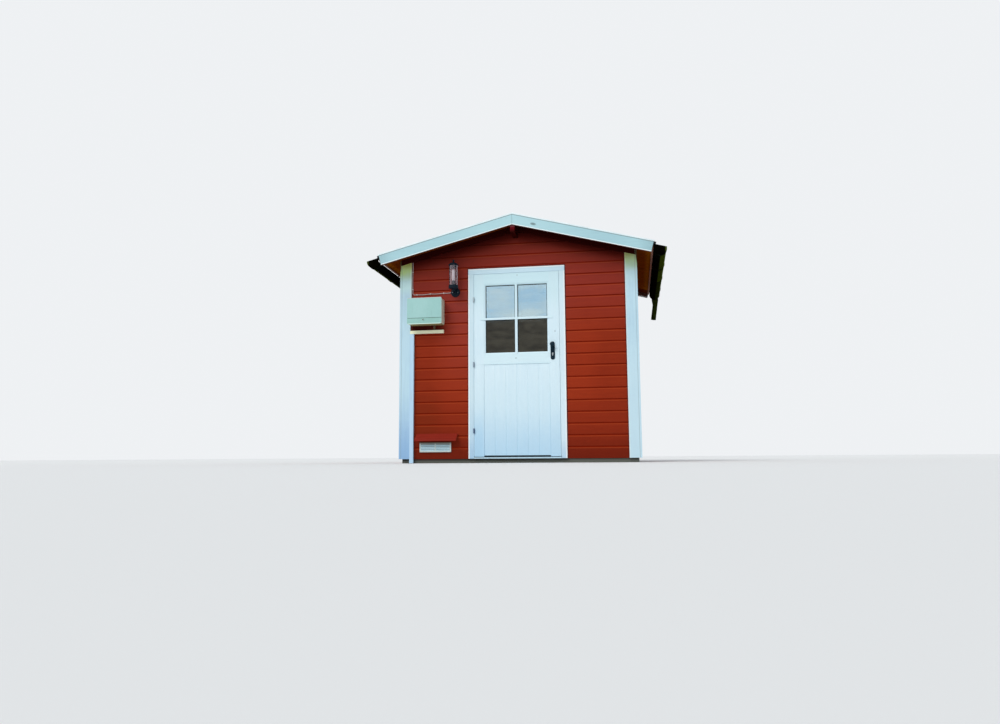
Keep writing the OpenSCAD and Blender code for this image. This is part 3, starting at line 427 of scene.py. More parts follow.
# Dark gutter plastic: algae grows on the outer and lower sides, lime spots sit here and there
def gutterPlastic():
    v = gutterValues
    f = Finish("gutterPlastic")
    x, y, z = f.parts(f.place)
    offX = f.absolute(x)
    patch = f.noise(f.place, 18.0, 5.0, 0.65)
    fine = f.noise(f.place, 140.0, 4.0, 0.7)
    outward = f.fade(offX, v.fromX - 0.004, v.fromX + 0.008)
    below = f.fade(z, v.rimZ - 0.004, v.rimZ - 0.012)
    pipe = f.fade(z, 2.035, 2.015)
    grown = outward * below * f.fade(patch, 0.22, 0.5)
    grown = grown * (f.fade(y, 0.25, 0.1) * 0.7 + 0.3) * f.fade(y, -1.1, -1.06)
    f.patchy(patch, v.main, v.second)
    f.cover(grown * (0.65 + fine * 0.35), v.green)
    f.cover(pipe * f.fade(patch, 0.3, 0.6), v.pipe)
    rim = f.fade(offX, v.fromX + 0.044, v.fromX + 0.052) * f.fade(patch, 0.25, 0.45)
    f.cover(rim * 0.7, v.rim)
    lime = f.fade(f.cells(f.place, 95.0), 0.2, 0.1) * f.fade(f.noise(f.place, 30.0), 0.5, 0.62)
    f.cover(lime * 0.12, v.lime)
    f.wear(0.5 + grown * 0.3 + patch * 0.1, 0.0, Normal=f.bump(fine * grown + fine * 0.15, 0.0008, 0.5))


def roofFelt(name, main, second, relief, moss=(0.06, 0.072, 0.036), grain=520.0):
    f = Finish(name)
    tint = f.node("ShaderNodeAttribute", out="Fac", attribute_name="boardTint")
    light = f.parts(f.cells(f.place, grain, "Color"))[0]
    patch = f.noise(f.place, 3.2, 5.0, 0.65)
    f.colour = f.blend(light * 0.7 + tint * 0.3, main, second)
    f.cover(f.fade(patch, 0.45, 0.75) * 0.35, moss)
    f.wear(0.85 + patch * 0.1, 0.3, Normal=f.bump(f.cells(f.place, grain), 0.0012, relief))


# The door's panes: dim mirrors that let a part of the light through
def paneGlass(main=(0.8, 0.88, 0.92), see=0.62):
    f = Finish("paneGlass")
    smear = f.noise(f.place, 5.0, 4.0, 0.6)
    wave = f.noise(f.place, 3.0, 1.0, 0.4)
    f.colour = (*main, 1)
    f.wear(smear * 0.03 + 0.015, Metallic=1.0, Alpha=see, Normal=f.bump(wave, 0.0006, 0.15))


# Clear tube glass: hardly seen face on, pale at its edges, where its pinkish tone is a painted reflection of
# the red wall
def tubeGlass(mainTone=(0.74, 0.58, 0.62), dusty=(0.56, 0.5, 0.55)):
    f = Finish("tubeGlass")
    facing = f.node("ShaderNodeLayerWeight", {"Blend": 0.5}, "Facing")
    dust = f.noise(f.place, 60.0, 3.0, 0.6)
    f.colour = f.blend(dust, mainTone, dusty)
    f.wear(dust * 0.1 + 0.08, 0.3, Alpha=facing * facing * 0.85 + 0.07 + dust * 0.05)


def opalBulb(mainTone=(0.62, 0.55, 0.6), dusty=(0.5, 0.44, 0.48)):
    f = Finish("opalBulb")
    dust = f.noise(f.place, 120.0, 3.0, 0.6)
    f.colour = f.blend(dust * 0.4, mainTone, dusty)
    f.wear(dust * 0.1 + 0.34, 0.3)


for name in woodValues:
    wood(name)
gutterPlastic()
roofFelt("roofFelt", (0.02, 0.021, 0.023), (0.045, 0.046, 0.048), 0.35)
roofFelt("roofTabs", (0.03, 0.031, 0.034), (0.085, 0.083, 0.084), 0.56)
metal("bracketPlastic", (0.002, 0.003, 0.002), (0.005, 0.006, 0.004), 0.55, scale=60.0, gloss=0.0)
# Near black for the strip under the door's panel and round the panes: painted shade
metal("sealRubber", (0.0035, 0.0045, 0.005), (0.006, 0.0075, 0.008), 0.6, scale=80.0, gloss=0.05)
metal("dripMetal", (0.78, 0.88, 0.9), (0.66, 0.77, 0.8), 0.34, 0.05, 30.0)
metal("lampIron", (0.0035, 0.011, 0.02), (0.006, 0.015, 0.026), 0.4, scale=60.0, depth=0.0006, gloss=0.14)
metal("blackIron", (0.002, 0.014, 0.026), (0.004, 0.02, 0.036), 0.38, scale=60.0, depth=0.0006, gloss=0.13)
# The hinges darken and turn bluer towards the bottom: painted shade
metal("hingeSteel", (0.46, 0.54, 0.58), (0.36, 0.44, 0.48), 0.4, 0.2, 80.0, gloss=0.3,
    lower=(1.75, 0.35, (0.055, 0.095, 0.19)))
metal("cylinderSteel", (0.84, 0.86, 0.88), (0.72, 0.74, 0.76), 0.26, 0.8, 120.0)
metal("screwSteel", (0.42, 0.48, 0.52), (0.3, 0.34, 0.36), 0.42, 0.6, 200.0)
# Near black for the slots, gaps and the vent's back: painted shade in these hollows
metal("darkHollow", (0.008, 0.008, 0.009), (0.014, 0.013, 0.012), 0.7, gloss=0.1)
plastic("sealPale", (0.66, 0.82, 0.89), (0.58, 0.76, 0.85), 0.55, (0.3, 0.34, 0.34), 0.3)
# The box's sides are lighter and warmer, a painted light, and its underside is olive and darker, a painted
# shade
boxPaintedLightAndShade = {"sides": (0.62, 0.6, 0.48), "below": (0.34, 0.28, 0.13)}
plastic("boxFlap", (0.3, 0.545, 0.5), (0.265, 0.5, 0.45), 0.36, level=(1.4685, 1.4675, (0.62, 0.84, 0.76)),
    **boxPaintedLightAndShade)
plastic("boxPlastic", (0.345, 0.59, 0.57), (0.3, 0.545, 0.52), 0.36, level=(1.737, 1.74, (0.56, 0.5, 0.46)),
    **boxPaintedLightAndShade)
plastic("glandPlastic", (0.11, 0.07, 0.03), (0.07, 0.045, 0.02), 0.5)
plastic("trunkPlastic", (0.88, 0.88, 0.62), (0.78, 0.8, 0.56), 0.42, (0.36, 0.35, 0.2), 0.35,
    level=(1.3765, 1.3755, (0.45, 0.65, 0.83)))
plastic("cableSheath", (0.5, 0.36, 0.36), (0.42, 0.34, 0.34), 0.45, (0.2, 0.1, 0.08), 0.5)
plastic("clipPlastic", (0.66, 0.6, 0.58), (0.56, 0.52, 0.5), 0.42)
# The vent's top rim and upper louvres are darker under the hood: painted shadow
plastic("ventFrame", (0.6, 0.69, 0.66), (0.53, 0.62, 0.6), 0.4, (0.24, 0.2, 0.15), 0.4,
    level=(0.202, 0.212, (0.16, 0.12, 0.08)))
plastic("ventMetal", (0.6, 0.84, 0.93), (0.52, 0.77, 0.86), 0.4, (0.22, 0.22, 0.16), 0.4,
    level=(0.184, 0.206, (0.26, 0.3, 0.27)))
paneGlass()
tubeGlass()
opalBulb()
print("materials made:", len(finishes))


# Reads an outline that is written in millimetres
def mm(text):
    return [tuple(float(n) / 1000 for n in point.split(",")) for point in text.split()]


# Points along a part of a circle, its angles in degrees
def arc(x, z, radius, start, end, steps):
    angles = [radians(start + (end - start) * k / steps) for k in range(steps + 1)]
    return [(x + radius * cos(a), z + radius * sin(a)) for a in angles]


def axes(x, y, z, at):
    return Matrix([(*row, place) for row, place in zip(zip(x, y, z), at)] + [(0, 0, 0, 1)])


def moved(x, y, z):
    return Matrix.Translation((x, y, z))


# Local Z turned to the front, at a place
def facing(x, y, z):
    return moved(x, y, z) @ Matrix.Rotation(pi / 2, 4, "X")


# A solid from rings of corners, with caps on its first and last ring where it needs them
def solid(rings, caps=True):
    part = bmesh.new()
    rings = [[part.verts.new(p) for p in ring] for ring in rings]
    if caps:
        part.faces.new(rings[0])
        part.faces.new(rings[-1])
    steps = max(len(ring) for ring in rings)
    for a, b in zip(rings, rings[1:]):
        for k in range(steps):
            q = (k + 1) % steps
            corners = list(dict.fromkeys((a[k % len(a)], a[q % len(a)], b[q % len(b)], b[k % len(b)])))
            if len(corners) > 2:
                part.faces.new(corners)
    return part


def meshOf(part, name):
    mesh = bpy.data.meshes.new(name)
    part.to_mesh(mesh)
    part.free()
    return mesh


# A small shape for the trees to repeat
def unit(name, *rings):
    part = solid(rings)
    bmesh.ops.recalc_face_normals(part, faces=part.faces)
    return meshOf(part, name)


# Rounds the edges where two faces meet at more than 24 degrees
def rounded(part, round, steps=2):
    sharp = [e for e in part.edges if e.calc_face_angle(0.0) > radians(24)]
    bmesh.ops.bevel(part, geom=sharp, offset=round, offset_type="OFFSET", segments=steps, profile=0.5,
        affect="EDGES", clamp_overlap=True)


def placed(name, mesh, materials, body, stands=()):
    mesh.name = name
    made = bpy.data.objects.new(name, mesh)
    scene.collection.objects.link(made)
    for material in materials:
        mesh.materials.append(finishes[material])
    if stands:
        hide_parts(*stands)
    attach(made, body)


# Adds one closed solid after another to a piece, each with its own rounded edges
class Piece:
    def __init__(self, name, *materials):
        self.name = name
        self.materials = materials
        self.body = bmesh.new()

    def take(self, part, slot, smooth, turn=None):
        if turn is not None:
            bmesh.ops.transform(part, matrix=turn, verts=part.verts)
        bmesh.ops.recalc_face_normals(part, faces=part.faces)
        for face in part.faces:
            face.material_index = slot
            face.smooth = smooth
        if smooth:
            for edge in part.edges:
                edge.smooth = edge.calc_face_angle(0.0) < radians(38)
        holder = meshOf(part, "holder")
        self.body.from_mesh(holder)
        bpy.data.meshes.remove(holder)

    # A flat outline drawn out along an axis; the outline is in the two other axes, in their order
    def prism(self, outline, axis, start, end, round=0.0015, slot=0, turn=None, steps=2, smooth=False):
        part = solid([[(*p[:axis], at, *p[axis:]) for p in outline] for at in (start, end)])
        if round > 0:
            rounded(part, round, steps)
        self.take(part, slot, smooth, turn)

    def block(self, xs, ys, zs, round=0.0015, slot=0):
        outline = [(xs[0], ys[0]), (xs[1], ys[0]), (xs[1], ys[1]), (xs[0], ys[1])]
        self.prism(outline, 2, zs[0], zs[1], round, slot)

    # An outline of radius and height, turned about local Z; turn then sets its place
    def turned(self, outline, turn, steps=32, slot=0):
        outline = mm(outline) if isinstance(outline, str) else outline
        angles = [k * tau / steps for k in range(steps)]
        rings = [[(r * cos(a), r * sin(a), up) for a in angles] if r else [(0, 0, up)] for r, up in outline]
        self.take(solid(rings, False), slot, True, turn)

    # A round bar that follows points, with flat ends
    def bar(self, points, radius, steps):
        points = [Vector(p) for p in points]
        side, rings = None, []
        for i, p in enumerate(points):
            ahead = (points[min(i + 1, len(points) - 1)] - points[max(i - 1, 0)]).normalized()
            if side is None:
                side = ahead.orthogonal().normalized()
            side = (side - ahead * side.dot(ahead)).normalized()
            other = ahead.cross(side)
            angles = [k * tau / steps for k in range(steps)]
            rings.append([p + radius * (side * cos(a) + other * sin(a)) for a in angles])
        self.take(solid(rings), 0, True)

    def done(self, body, slot, *stands):
        placed(self.name, meshOf(self.body, self.name), self.materials, body, stands)


# A CAD node with merged corners
def nodeCopy(node):
    part = bmesh.new()
    part.from_mesh(nodes[node].data)
    bmesh.ops.remove_doubles(part, verts=part.verts, dist=1e-5)
    return part


# CAD nodes of the hut that only get rounded edges
def softened(material, slot, round, *names):
    for node in names:
        part = nodeCopy(node)
        bmesh.ops.dissolve_limit(part, angle_limit=radians(1), verts=part.verts, edges=part.edges)
        rounded(part, round)
        placed(node + "Soft", meshOf(part, node), [material], "hut", [node])


# CAD nodes of the hut that keep their shape, with smooth round faces
def smoothed(material, *names):
    for node in names:
        part = nodeCopy(node)
        for face in part.faces:
            face.smooth = True
        for edge in part.edges:
            edge.smooth = edge.calc_face_angle(pi) < radians(32)
        placed(node + "Smooth", meshOf(part, node), [material], "hut", [node])


# Geometry trees: the inputs of each kind are named in one text
def makeTree(name, **kinds):
    tree = bpy.data.node_groups.new(name, "GeometryNodeTree")
    for kind, labels in {"Geometry": "Shape", "Material": "Finish", **kinds}.items():
        for label in labels.split():
            tree.interface.new_socket(label, in_out="INPUT", socket_type="NodeSocket" + kind)
    tree.interface.new_socket("Result", in_out="OUTPUT", socket_type="NodeSocketGeometry")
    g = Graph(tree)
    g.given = Values({s.name: Wire(g, s) for s in tree.nodes.new("NodeGroupInput").outputs if s.name})
    g.last = tree.nodes.new("NodeGroupOutput")
    return g


def endTree(g, geometry):
    whole = g.node("GeometryNodeRealizeInstances", {0: geometry})
    coloured = g.node("GeometryNodeSetMaterial", {"Geometry": whole, "Material": g.given.Finish})
    g.feed(g.last.inputs[0], coloured)
    return g


# Copies of the shape on points, each with a tint of its own
def tinted(g, points):
    laid = g.node("GeometryNodeInstanceOnPoints", {"Points": points, "Instance": g.given.Shape})
    chance = g.node("FunctionNodeRandomValue", {2: 0.0, 3: 1.0, 8: g.given.Seed}, 1, data_type="FLOAT")
    return g.node("GeometryNodeStoreNamedAttribute", {"Geometry": laid, "Name": "boardTint", "Value": chance},
        data_type="FLOAT", domain="INSTANCE")


# The copies as one mesh, with their tint and the coordinates of the corners
def realized(g, laid):
    whole = g.node("GeometryNodeRealizeInstances", {0: laid})
    tint = g.node("GeometryNodeInputNamedAttribute", {"Name": "boardTint"}, data_type="FLOAT")
    return whole, tint, g.parts(g.node("GeometryNodeInputPosition"))


# Runs a tree on a mesh and gives back the plain mesh that comes out
def grow(g, mesh, move=None, **values):
    maker = bpy.data.objects.new("maker", mesh)
    scene.collection.objects.link(maker)
    modifier = maker.modifiers.new("maker", "NODES")
    modifier.node_group = g.tree
    for item in g.tree.interface.items_tree:
        if item.item_type == "SOCKET" and item.in_out == "INPUT" and item.name in values:
            value = values[item.name]
            modifier[item.identifier] = finishes[value] if isinstance(value, str) else value
    graph = bpy.context.evaluated_depsgraph_get()
    made = bpy.data.meshes.new_from_object(maker.evaluated_get(graph), preserve_all_data_layers=True,
        depsgraph=graph)
    bpy.data.objects.remove(maker)
    if move is not None:
        made.transform(move)
    return made


# Joins grown meshes to a piece of the hut and keeps the tint of each board
def joined(name, material, slot, stands, *meshes):
    corners, faces, tints = [], [], []
    for mesh in meshes:
        start = len(corners)
        corners += [v.co[:] for v in mesh.vertices]
        faces += [[start + i for i in p.vertices] for p in mesh.polygons]
        layer = mesh.attributes.get("boardTint")
        tints += [entry.value for entry in layer.data] if layer else [0.0] * len(mesh.vertices)
    made = bpy.data.meshes.new(name)
    made.from_pydata(corners, [], faces)
    made.attributes.new("boardTint", "FLOAT", "POINT").data.foreach_set("value", tints)
    made.update()
    placed(name, made, [material], "hut", stands)


# Lays boards: the shape is one board, a unit long in X, and its copies go up in Z
def boardTree():
    g = makeTree("layBoards", Int="Count Seed",
        Float="Pitch Start Low High Left Right Ridge Slope Lean Drop Wander")
    v = g.given
    line = g.node("GeometryNodeMeshLine", {"Count": v.Count, "Start Location": g.join(0.0, 0.0, v.Start),
        "Offset": g.join(0.0, 0.0, v.Pitch)}, mode="OFFSET")
    whole, tint, (x, y, z) = realized(g, tinted(g, line))
    lowest = g.calc("LESS_THAN", z, v.Start + v.Drop)
    z = v.Low * lowest + z * (1 - lowest)
    z = g.smaller(g.larger(z, v.Low), v.High)
    half = g.larger((v.Ridge - z) / v.Slope, 0.0)
    left, right = g.larger(v.Left, 0 - half), g.smaller(v.Right, half)
    spot = g.join(left + (right - left) * x - y * v.Lean, y + tint * v.Wander, z)
    whole = g.node("GeometryNodeSetPosition", {"Geometry": whole, "Position": spot})
    return endTree(g, g.node("GeometryNodeMergeByDistance", {"Geometry": whole, "Distance": 0.00002}))


# One board a unit long in X, from its outline in Y and Z
def unitBoard(outline):
    return unit("unitBoard", *[[(at, *p) for p in outline] for at in (0.0, 1.0)])


# Walls: weather boards with an overhang above a rebate, so that each joint throws a dark line
walls = Values(halfWidth=1.246, halfDepth=0.915, sideEnd=0.887, thick=0.028, pitch=0.12, low=0.045,
    eave=2.187, ridge=2.50691, slope=0.256756, frameHalf=0.5145, frameTop=2.058, rebate=0.009, gap=0.0055,
    edge=0.0015, nose=(0.0085, 0.007, 0.0045), chamfer=0.0025, wander=0.0007, shift=0.004, fullBoards=17)
top, back = walls.pitch + walls.gap, walls.thick - walls.chamfer
wallBoard = unitBoard([(walls.edge, walls.gap), (0.0, walls.gap + walls.edge),
    (0.0, walls.pitch - walls.nose[0]), (walls.edge, walls.pitch - walls.nose[1]),
    (walls.rebate, walls.pitch - walls.nose[2]), (walls.rebate, top), (back, top),
    (walls.thick, top - walls.chamfer), (walls.thick, walls.gap + walls.chamfer), (back, walls.gap)])
layBoards = boardTree()
noGable = {"Ridge": 50.0, "Slope": 1.0}
wallStart = walls.low - walls.shift
fullFrom = wallStart + walls.fullBoards * walls.pitch


def wallField(seed, move, finish="redBoardsFront", **changes):
    usual = dict(Count=walls.fullBoards, Pitch=walls.pitch, Start=wallStart, Low=walls.low, High=walls.ridge,
        Left=-walls.halfWidth, Right=walls.halfWidth, Ridge=walls.ridge, Slope=walls.slope,
        Drop=walls.gap + 0.002, Wander=walls.wander)
    return grow(layBoards, wallBoard, move, Seed=seed, Finish=finish, **{**usual, **changes})


def wallPiece(name, node, *fields, finish="redBoardsFront"):
    joined(name, finish, "red_boards", [node], *fields)


frontMove = moved(0, -walls.halfDepth, 0)
rearMove = moved(0, walls.halfDepth, 0) @ Matrix.Rotation(pi, 4, "Z")
wallPiece("frontBoardsLeft", "front_wall_left", wallField(3, frontMove, Right=-walls.frameHalf))
wallPiece("frontBoardsRight", "front_wall_right", wallField(3, frontMove, Left=walls.frameHalf))
overDoor = wallField(5, frontMove, Count=1, Start=fullFrom - walls.pitch, Low=walls.frameTop, Drop=-1.0,
    Left=-walls.frameHalf, Right=walls.frameHalf)
gable = wallField(11, frontMove, Count=4, Start=fullFrom, Low=fullFrom, Drop=-1.0)
wallPiece("frontBoardsTop", "front_wall_over_door", overDoor, gable)
wallPiece("rearBoards", "rear_wall", wallField(8, rearMove, Count=21))
for side, label, seed in ((1, "right", 13), (-1, "left", 17)):
    sideMove = moved(side * walls.halfWidth, 0, 0) @ Matrix.Rotation(side * pi / 2, 4, "Z")
    field = wallField(seed, sideMove, "redBoardsSide", Count=18, Left=-walls.sideEnd, Right=walls.sideEnd,
        High=walls.eave, **noGable)
    wallPiece(label + "Boards", label + "_wall", field, finish="redBoardsSide")
print("walls boarded")


# A board with two small front edges, for floor and roof
def edgedBoard(pitch, thick, edge):
    return unitBoard([(edge, 0.0), (0.0, edge), (0.0, pitch - edge), (edge, pitch), (thick, pitch),
        (thick, 0.0)])


# Floor: boards across the room, notched at the door frame
v = floorValues = Values(pitch=0.118, top=0.073, thick=0.028, edge=0.0012, rows=16, halfX=1.218, halfY=0.887,
    notchY=-0.835, notchX=0.5145, seed=4)
floorBoard = edgedBoard(v.pitch, v.thick, v.edge)
floorMove = axes((1, 0, 0), (0, 0, -1), (0, 1, 0), (0, 0, v.top))


# Boards wholly outside a field are squeezed flat by the tree and taken away
def trimmed(mesh):
    part = bmesh.new()
    part.from_mesh(mesh)
    bmesh.ops.dissolve_degenerate(part, dist=1e-6, edges=part.edges)
    islands, seen = [], set()
    for vert in part.verts:
        stack, island = [vert], []
        while stack:
            one = stack.pop()
            if one not in seen:
                seen.add(one)
                island.append(one)
                stack += [edge.other_vert(one) for edge in one.link_edges]
        islands.append(island)
    for island in filter(None, islands):
        if min(max(c.co[k] for c in island) - min(c.co[k] for c in island) for k in range(3)) < 1e-4:
            bmesh.ops.delete(part, geom=island, context="VERTS")
    part.to_mesh(mesh)
    part.free()
    return mesh


floorFields = []
for low, high, left, right in ((v.notchY, v.halfY, -v.halfX, v.halfX),
        (-v.halfY, v.notchY, -v.halfX, -v.notchX), (-v.halfY, v.notchY, v.notchX, v.halfX)):
    floorFields.append(trimmed(grow(layBoards, floorBoard, floorMove, Count=v.rows, Pitch=v.pitch,
        Start=-v.halfY, Low=low, High=high, Left=left, Right=right, Drop=-9.0, Seed=v.seed,
        Finish="bareTimber", **noGable)))
joined("floorBoards", "bareTimber", "floor_boards", ["floor_deck"], *floorFields)
softened("weathered", "bare_timber", 0.003, "end_bearers", "floor_joists")
softened("bareTimberUp", "bare_timber", 0.002, "corner_posts")
print("floor laid")

# Roof boards: stained, with a V joint on the underside, from the ridge down to the eave
v = deckValues = Values(pitch=0.096, count=24, halfY=1.152, thick=0.022, endX=1.411, vee=0.0035,
    seeds=(21, 22))
# A metre down a roof slope goes outwards by run and down by fall
run, fall = cos(radians(roofValues.degrees)), sin(radians(roofValues.degrees))
deckBoard = edgedBoard(v.pitch, v.thick, v.vee)
roofSides = ((1, "Right"), (-1, "Left"))
for (side, label), seed in zip(roofSides, v.seeds):
    move = axes((side * run, 0, -fall), (side * fall, 0, run), (0, -side, 0), (0, 0, walls.ridge))
    made = grow(layBoards, deckBoard, move, Count=v.count, Pitch=v.pitch, Start=-v.halfY, Low=-v.halfY,
        High=v.halfY, Left=0.0, Right=v.endX / run, Lean=fall / run, Drop=-9.0, Seed=seed,
        Finish="stainedSlope", **noGable)
    joined("roofBoards" + label, "stainedSlope", "stained_boards", ["roof_deck_" + label.lower()], made)
softened("redTimber", "red_timber", 0.003, "ridge_beam")
softened("redTimber", "red_timber", 0.002, "gable_rafters")
softened("stainedEave", "stained_boards", 0.0015, "eave_boards")
softened("whiteSlope", "white_paint", 0.0014, "front_left_bargeboard", "front_right_bargeboard",
    "rear_left_bargeboard", "rear_right_bargeboard")
print("roof boards and bargeboards done")


# Roof covering: felt tabs in rows, each row half a tab out, and folded tabs over the ridge
def tabTree():
    g = makeTree("layTabs", Int="Rows Columns Seed", Float="Exposure Width Start Half Lift")
    v = g.given
    points = g.node("GeometryNodePoints", {"Count": v.Rows * v.Columns})
    index = g.node("GeometryNodeInputIndex")
    row = g.calc("FLOOR", (index + 0.5) / v.Columns)
    column = index - row * v.Columns
    y = (column - v.Columns * 0.5 + g.calc("MODULO", row, 2.0) * 0.5) * v.Width
    spot = g.join(v.Start + row * v.Exposure, y, 0.0)
    points = g.node("GeometryNodeSetPosition", {"Geometry": points, "Position": spot})
    outside = g.calc("GREATER_THAN", g.absolute(y + v.Width * 0.5), v.Half + v.Width * 0.49)
    gone = g.node("FunctionNodeCompare", {0: outside, 1: 0.5}, data_type="FLOAT", operation="GREATER_THAN")
    points = g.node("GeometryNodeDeleteGeometry", {"Geometry": points, "Selection": gone}, domain="POINT")
    whole, tint, (x, y, z) = realized(g, tinted(g, points))
    y = g.smaller(g.larger(y, 0 - v.Half), v.Half)
    return endTree(g, g.node("GeometryNodeSetPosition",
        {"Geometry": whole, "Position": g.join(x, y, z + tint * v.Lift)}))


def repeatTree():
    g = makeTree("repeatAlong", Int="Count Seed", Vector="Step Start")
    v = g.given
    line = {"Count": v.Count, "Start Location": v.Start, "Offset": v.Step}
    return endTree(g, tinted(g, g.node("GeometryNodeMeshLine", line, mode="OFFSET")))


tabs = Values(width=0.333, exposure=0.1435, length=0.25, slot=0.008, cut=0.012, thick=0.003, low=0.0004,
    high=0.0068, rows=10, columns=8, base=0.0283, half=1.107, runEnd=1.492, lift=0.0012, seeds=(31, 32),
    capLength=0.25, capExposure=0.19, capHalf=0.105, capTilt=0.0045, capThick=0.0032, fold=0.012,
    foldDrop=0.0015, capUp=0.0075, capSeed=41)
layTabs = tabTree()
half, cutFrom = (tabs.width - tabs.slot) / 2, tabs.length - tabs.cut
outline = [(0.0, -half), (cutFrom, -half), (tabs.length, tabs.cut - half), (tabs.length, half - tabs.cut),
    (cutFrom, half), (0.0, half)]
# The lower end of a tab lies on the row below
tab = unit("feltTab", *[[(x, y + tabs.width / 2, tabs.low + (tabs.high - tabs.low) * x / tabs.length + up)
    for x, y in outline] for up in (0.0, tabs.thick)])
for (side, label), seed in zip(roofSides, tabs.seeds):
    move = axes((side * run, 0, -fall), (0, side, 0), (side * fall, 0, run),
        (side * fall * tabs.base, 0, walls.ridge + run * tabs.base))
    start = tabs.runEnd - tabs.length - (tabs.rows - 1) * tabs.exposure
    joined("feltTabs" + label, "roofTabs", "roof_felt", (), grow(layTabs, tab, move, Rows=tabs.rows,
        Columns=tabs.columns, Exposure=tabs.exposure, Width=tabs.width, Half=tabs.half, Lift=tabs.lift,
        Start=start, Finish="roofTabs", Seed=seed))


# One folded tab over the ridge, tilted so that the next one starts on it
def ridgeRing(y, lift):
    low = [(x, y, lift - (abs(x) * fall / run or tabs.foldDrop)) for x in (-tabs.capHalf, -tabs.fold, 0.0,
        tabs.fold, tabs.capHalf)]
    return low + [(x, y, z + tabs.capThick) for x, y, z in low[::-1]]


repeatAlong = repeatTree()
capRun = 2 * tabs.half - tabs.capLength
capCount = int(capRun / tabs.capExposure) + 1
ridgeTab = unit("ridgeTab", ridgeRing(0.0, 0.0), ridgeRing(tabs.capLength, tabs.capTilt))
start = (0.0, -tabs.half, walls.ridge + (tabs.base + tabs.capUp) / run)
joined("ridgeTabs", "roofTabs", "roof_felt", (), grow(repeatAlong, ridgeTab, Count=capCount, Start=start,
    Step=(0.0, capRun / (capCount - 1), 0.0), Seed=tabs.capSeed, Finish="roofTabs"))
softened("roofFelt", "roof_felt", 0.0012, "roof_felt_left", "roof_felt_right")
print("roof covered")

# Corner boards: on each corner a wide board on the gable and one on the side wall, with a seam between them
v = cornerValues = Values(outX=1.246, wide=0.106, thick=0.02, low=0.045, rafter=0.05689, sideDrop=0.001,
    round=0.0018, cutX=-1.15, cutTop=1.744)


def cornerBoards(name, node, end):
    piece = Piece(name, "whiteUpright")

    def board(xs, ys, drop, notched=False):
        outline = [(xs[0], v.low), (xs[1], v.low), *[(x, walls.ridge - abs(x) * walls.slope - drop)
            for x in xs[::-1]]]
        if notched:
            outline[0:1] = [(xs[0], v.cutTop), (v.cutX, v.cutTop), (v.cutX, v.low)]
        piece.prism(outline, 1, *sorted(end * y for y in ys), v.round)

    face = walls.halfDepth + v.thick
    for side in (-1, 1):
        board((side * (v.outX - v.wide), side * v.outX), (walls.halfDepth, face), v.rafter,
            side < 0 and end < 0)
        board((side * v.outX, side * (v.outX + v.thick)), (face, face - v.wide), v.sideDrop)
    piece.done("hut", "white_paint", node)


cornerBoards("frontCornerBoards", "front_corner_boards", -1)
cornerBoards("rearCornerBoards", "rear_corner_boards", 1)

# Rain goods and the metal edge keep their CAD shape
smoothed("gutterPlastic", "left_gutter", "right_gutter")
smoothed("bracketPlastic", "gutter_brackets")
smoothed("gutterPlastic", "downpipes")
softened("dripMetal", "white_metal", 0.0004, "drip_edges")
print("corner boards and rain goods done")

# Door frame
softened("whiteFrameUp", "white_paint", 0.0022, "left_jamb", "right_jamb")
softened("whiteFrameLevel", "white_paint", 0.0022, "door_head")
softened("whiteFrameLevel", "white_paint", 0.002, "door_threshold")

# Door leaf: stiles, rails and six panel boards
door = Values(face=-0.927, back=-0.887, half=0.4515, low=0.065, top=1.995, window=0.3475, railTop=0.1,
    panelTop=1.025, windowLow=1.129, windowTop=1.891, panelFace=-0.923, panelBack=-0.905, boards=6,
    round=0.0016, vee=0.0021, sweepTop=0.077, nosing=(-0.386, 0.36, 1.0265, 1.031), inset=0.0005)
leaf = Piece("leafStiles", "leafUp")
for side in (-1, 1):
    xs = sorted((side * door.window, side * door.half))
    leaf.block(xs, (door.face, door.back), (door.low, door.top), door.round)
step = 2 * door.window / door.boards
for i in range(door.boards):
    x0, x1 = -door.window + i * step, -door.window + (i + 1) * step
    front = [(x0, door.panelFace + door.vee), (x0 + door.vee, door.panelFace),
        (x1 - door.vee, door.panelFace), (x1, door.panelFace + door.vee)]
    leaf.prism([*front, (x1, door.panelBack), (x0, door.panelBack)], 2, door.sweepTop, door.panelTop + 0.006,
        0.0006, steps=1)
leaf.done("door", "door_paint", "door_leaf")
rails = Piece("leafRails", "leafLevel", "sealRubber")
across = (-door.window, door.window)
for zs in ((door.panelTop, door.windowLow), (door.windowTop, door.top)):
    rails.block(across, (door.face + 0.0003, door.back), zs, door.round)
rails.block(across, (door.panelBack - door.inset, door.back), (door.low, door.railTop), door.round)
# A near black strip under the panel boards: painted shade of the gap there
rails.block((-door.window + door.inset, door.window - door.inset), (door.panelFace + 0.0025, door.panelBack),
    (door.low + door.inset, door.sweepTop - door.inset), 0.001, 1)
rails.block(door.nosing[:2], (door.face - 0.0022, door.face + 0.001), door.nosing[2:], 0.001)
rails.done("door", "door_paint")

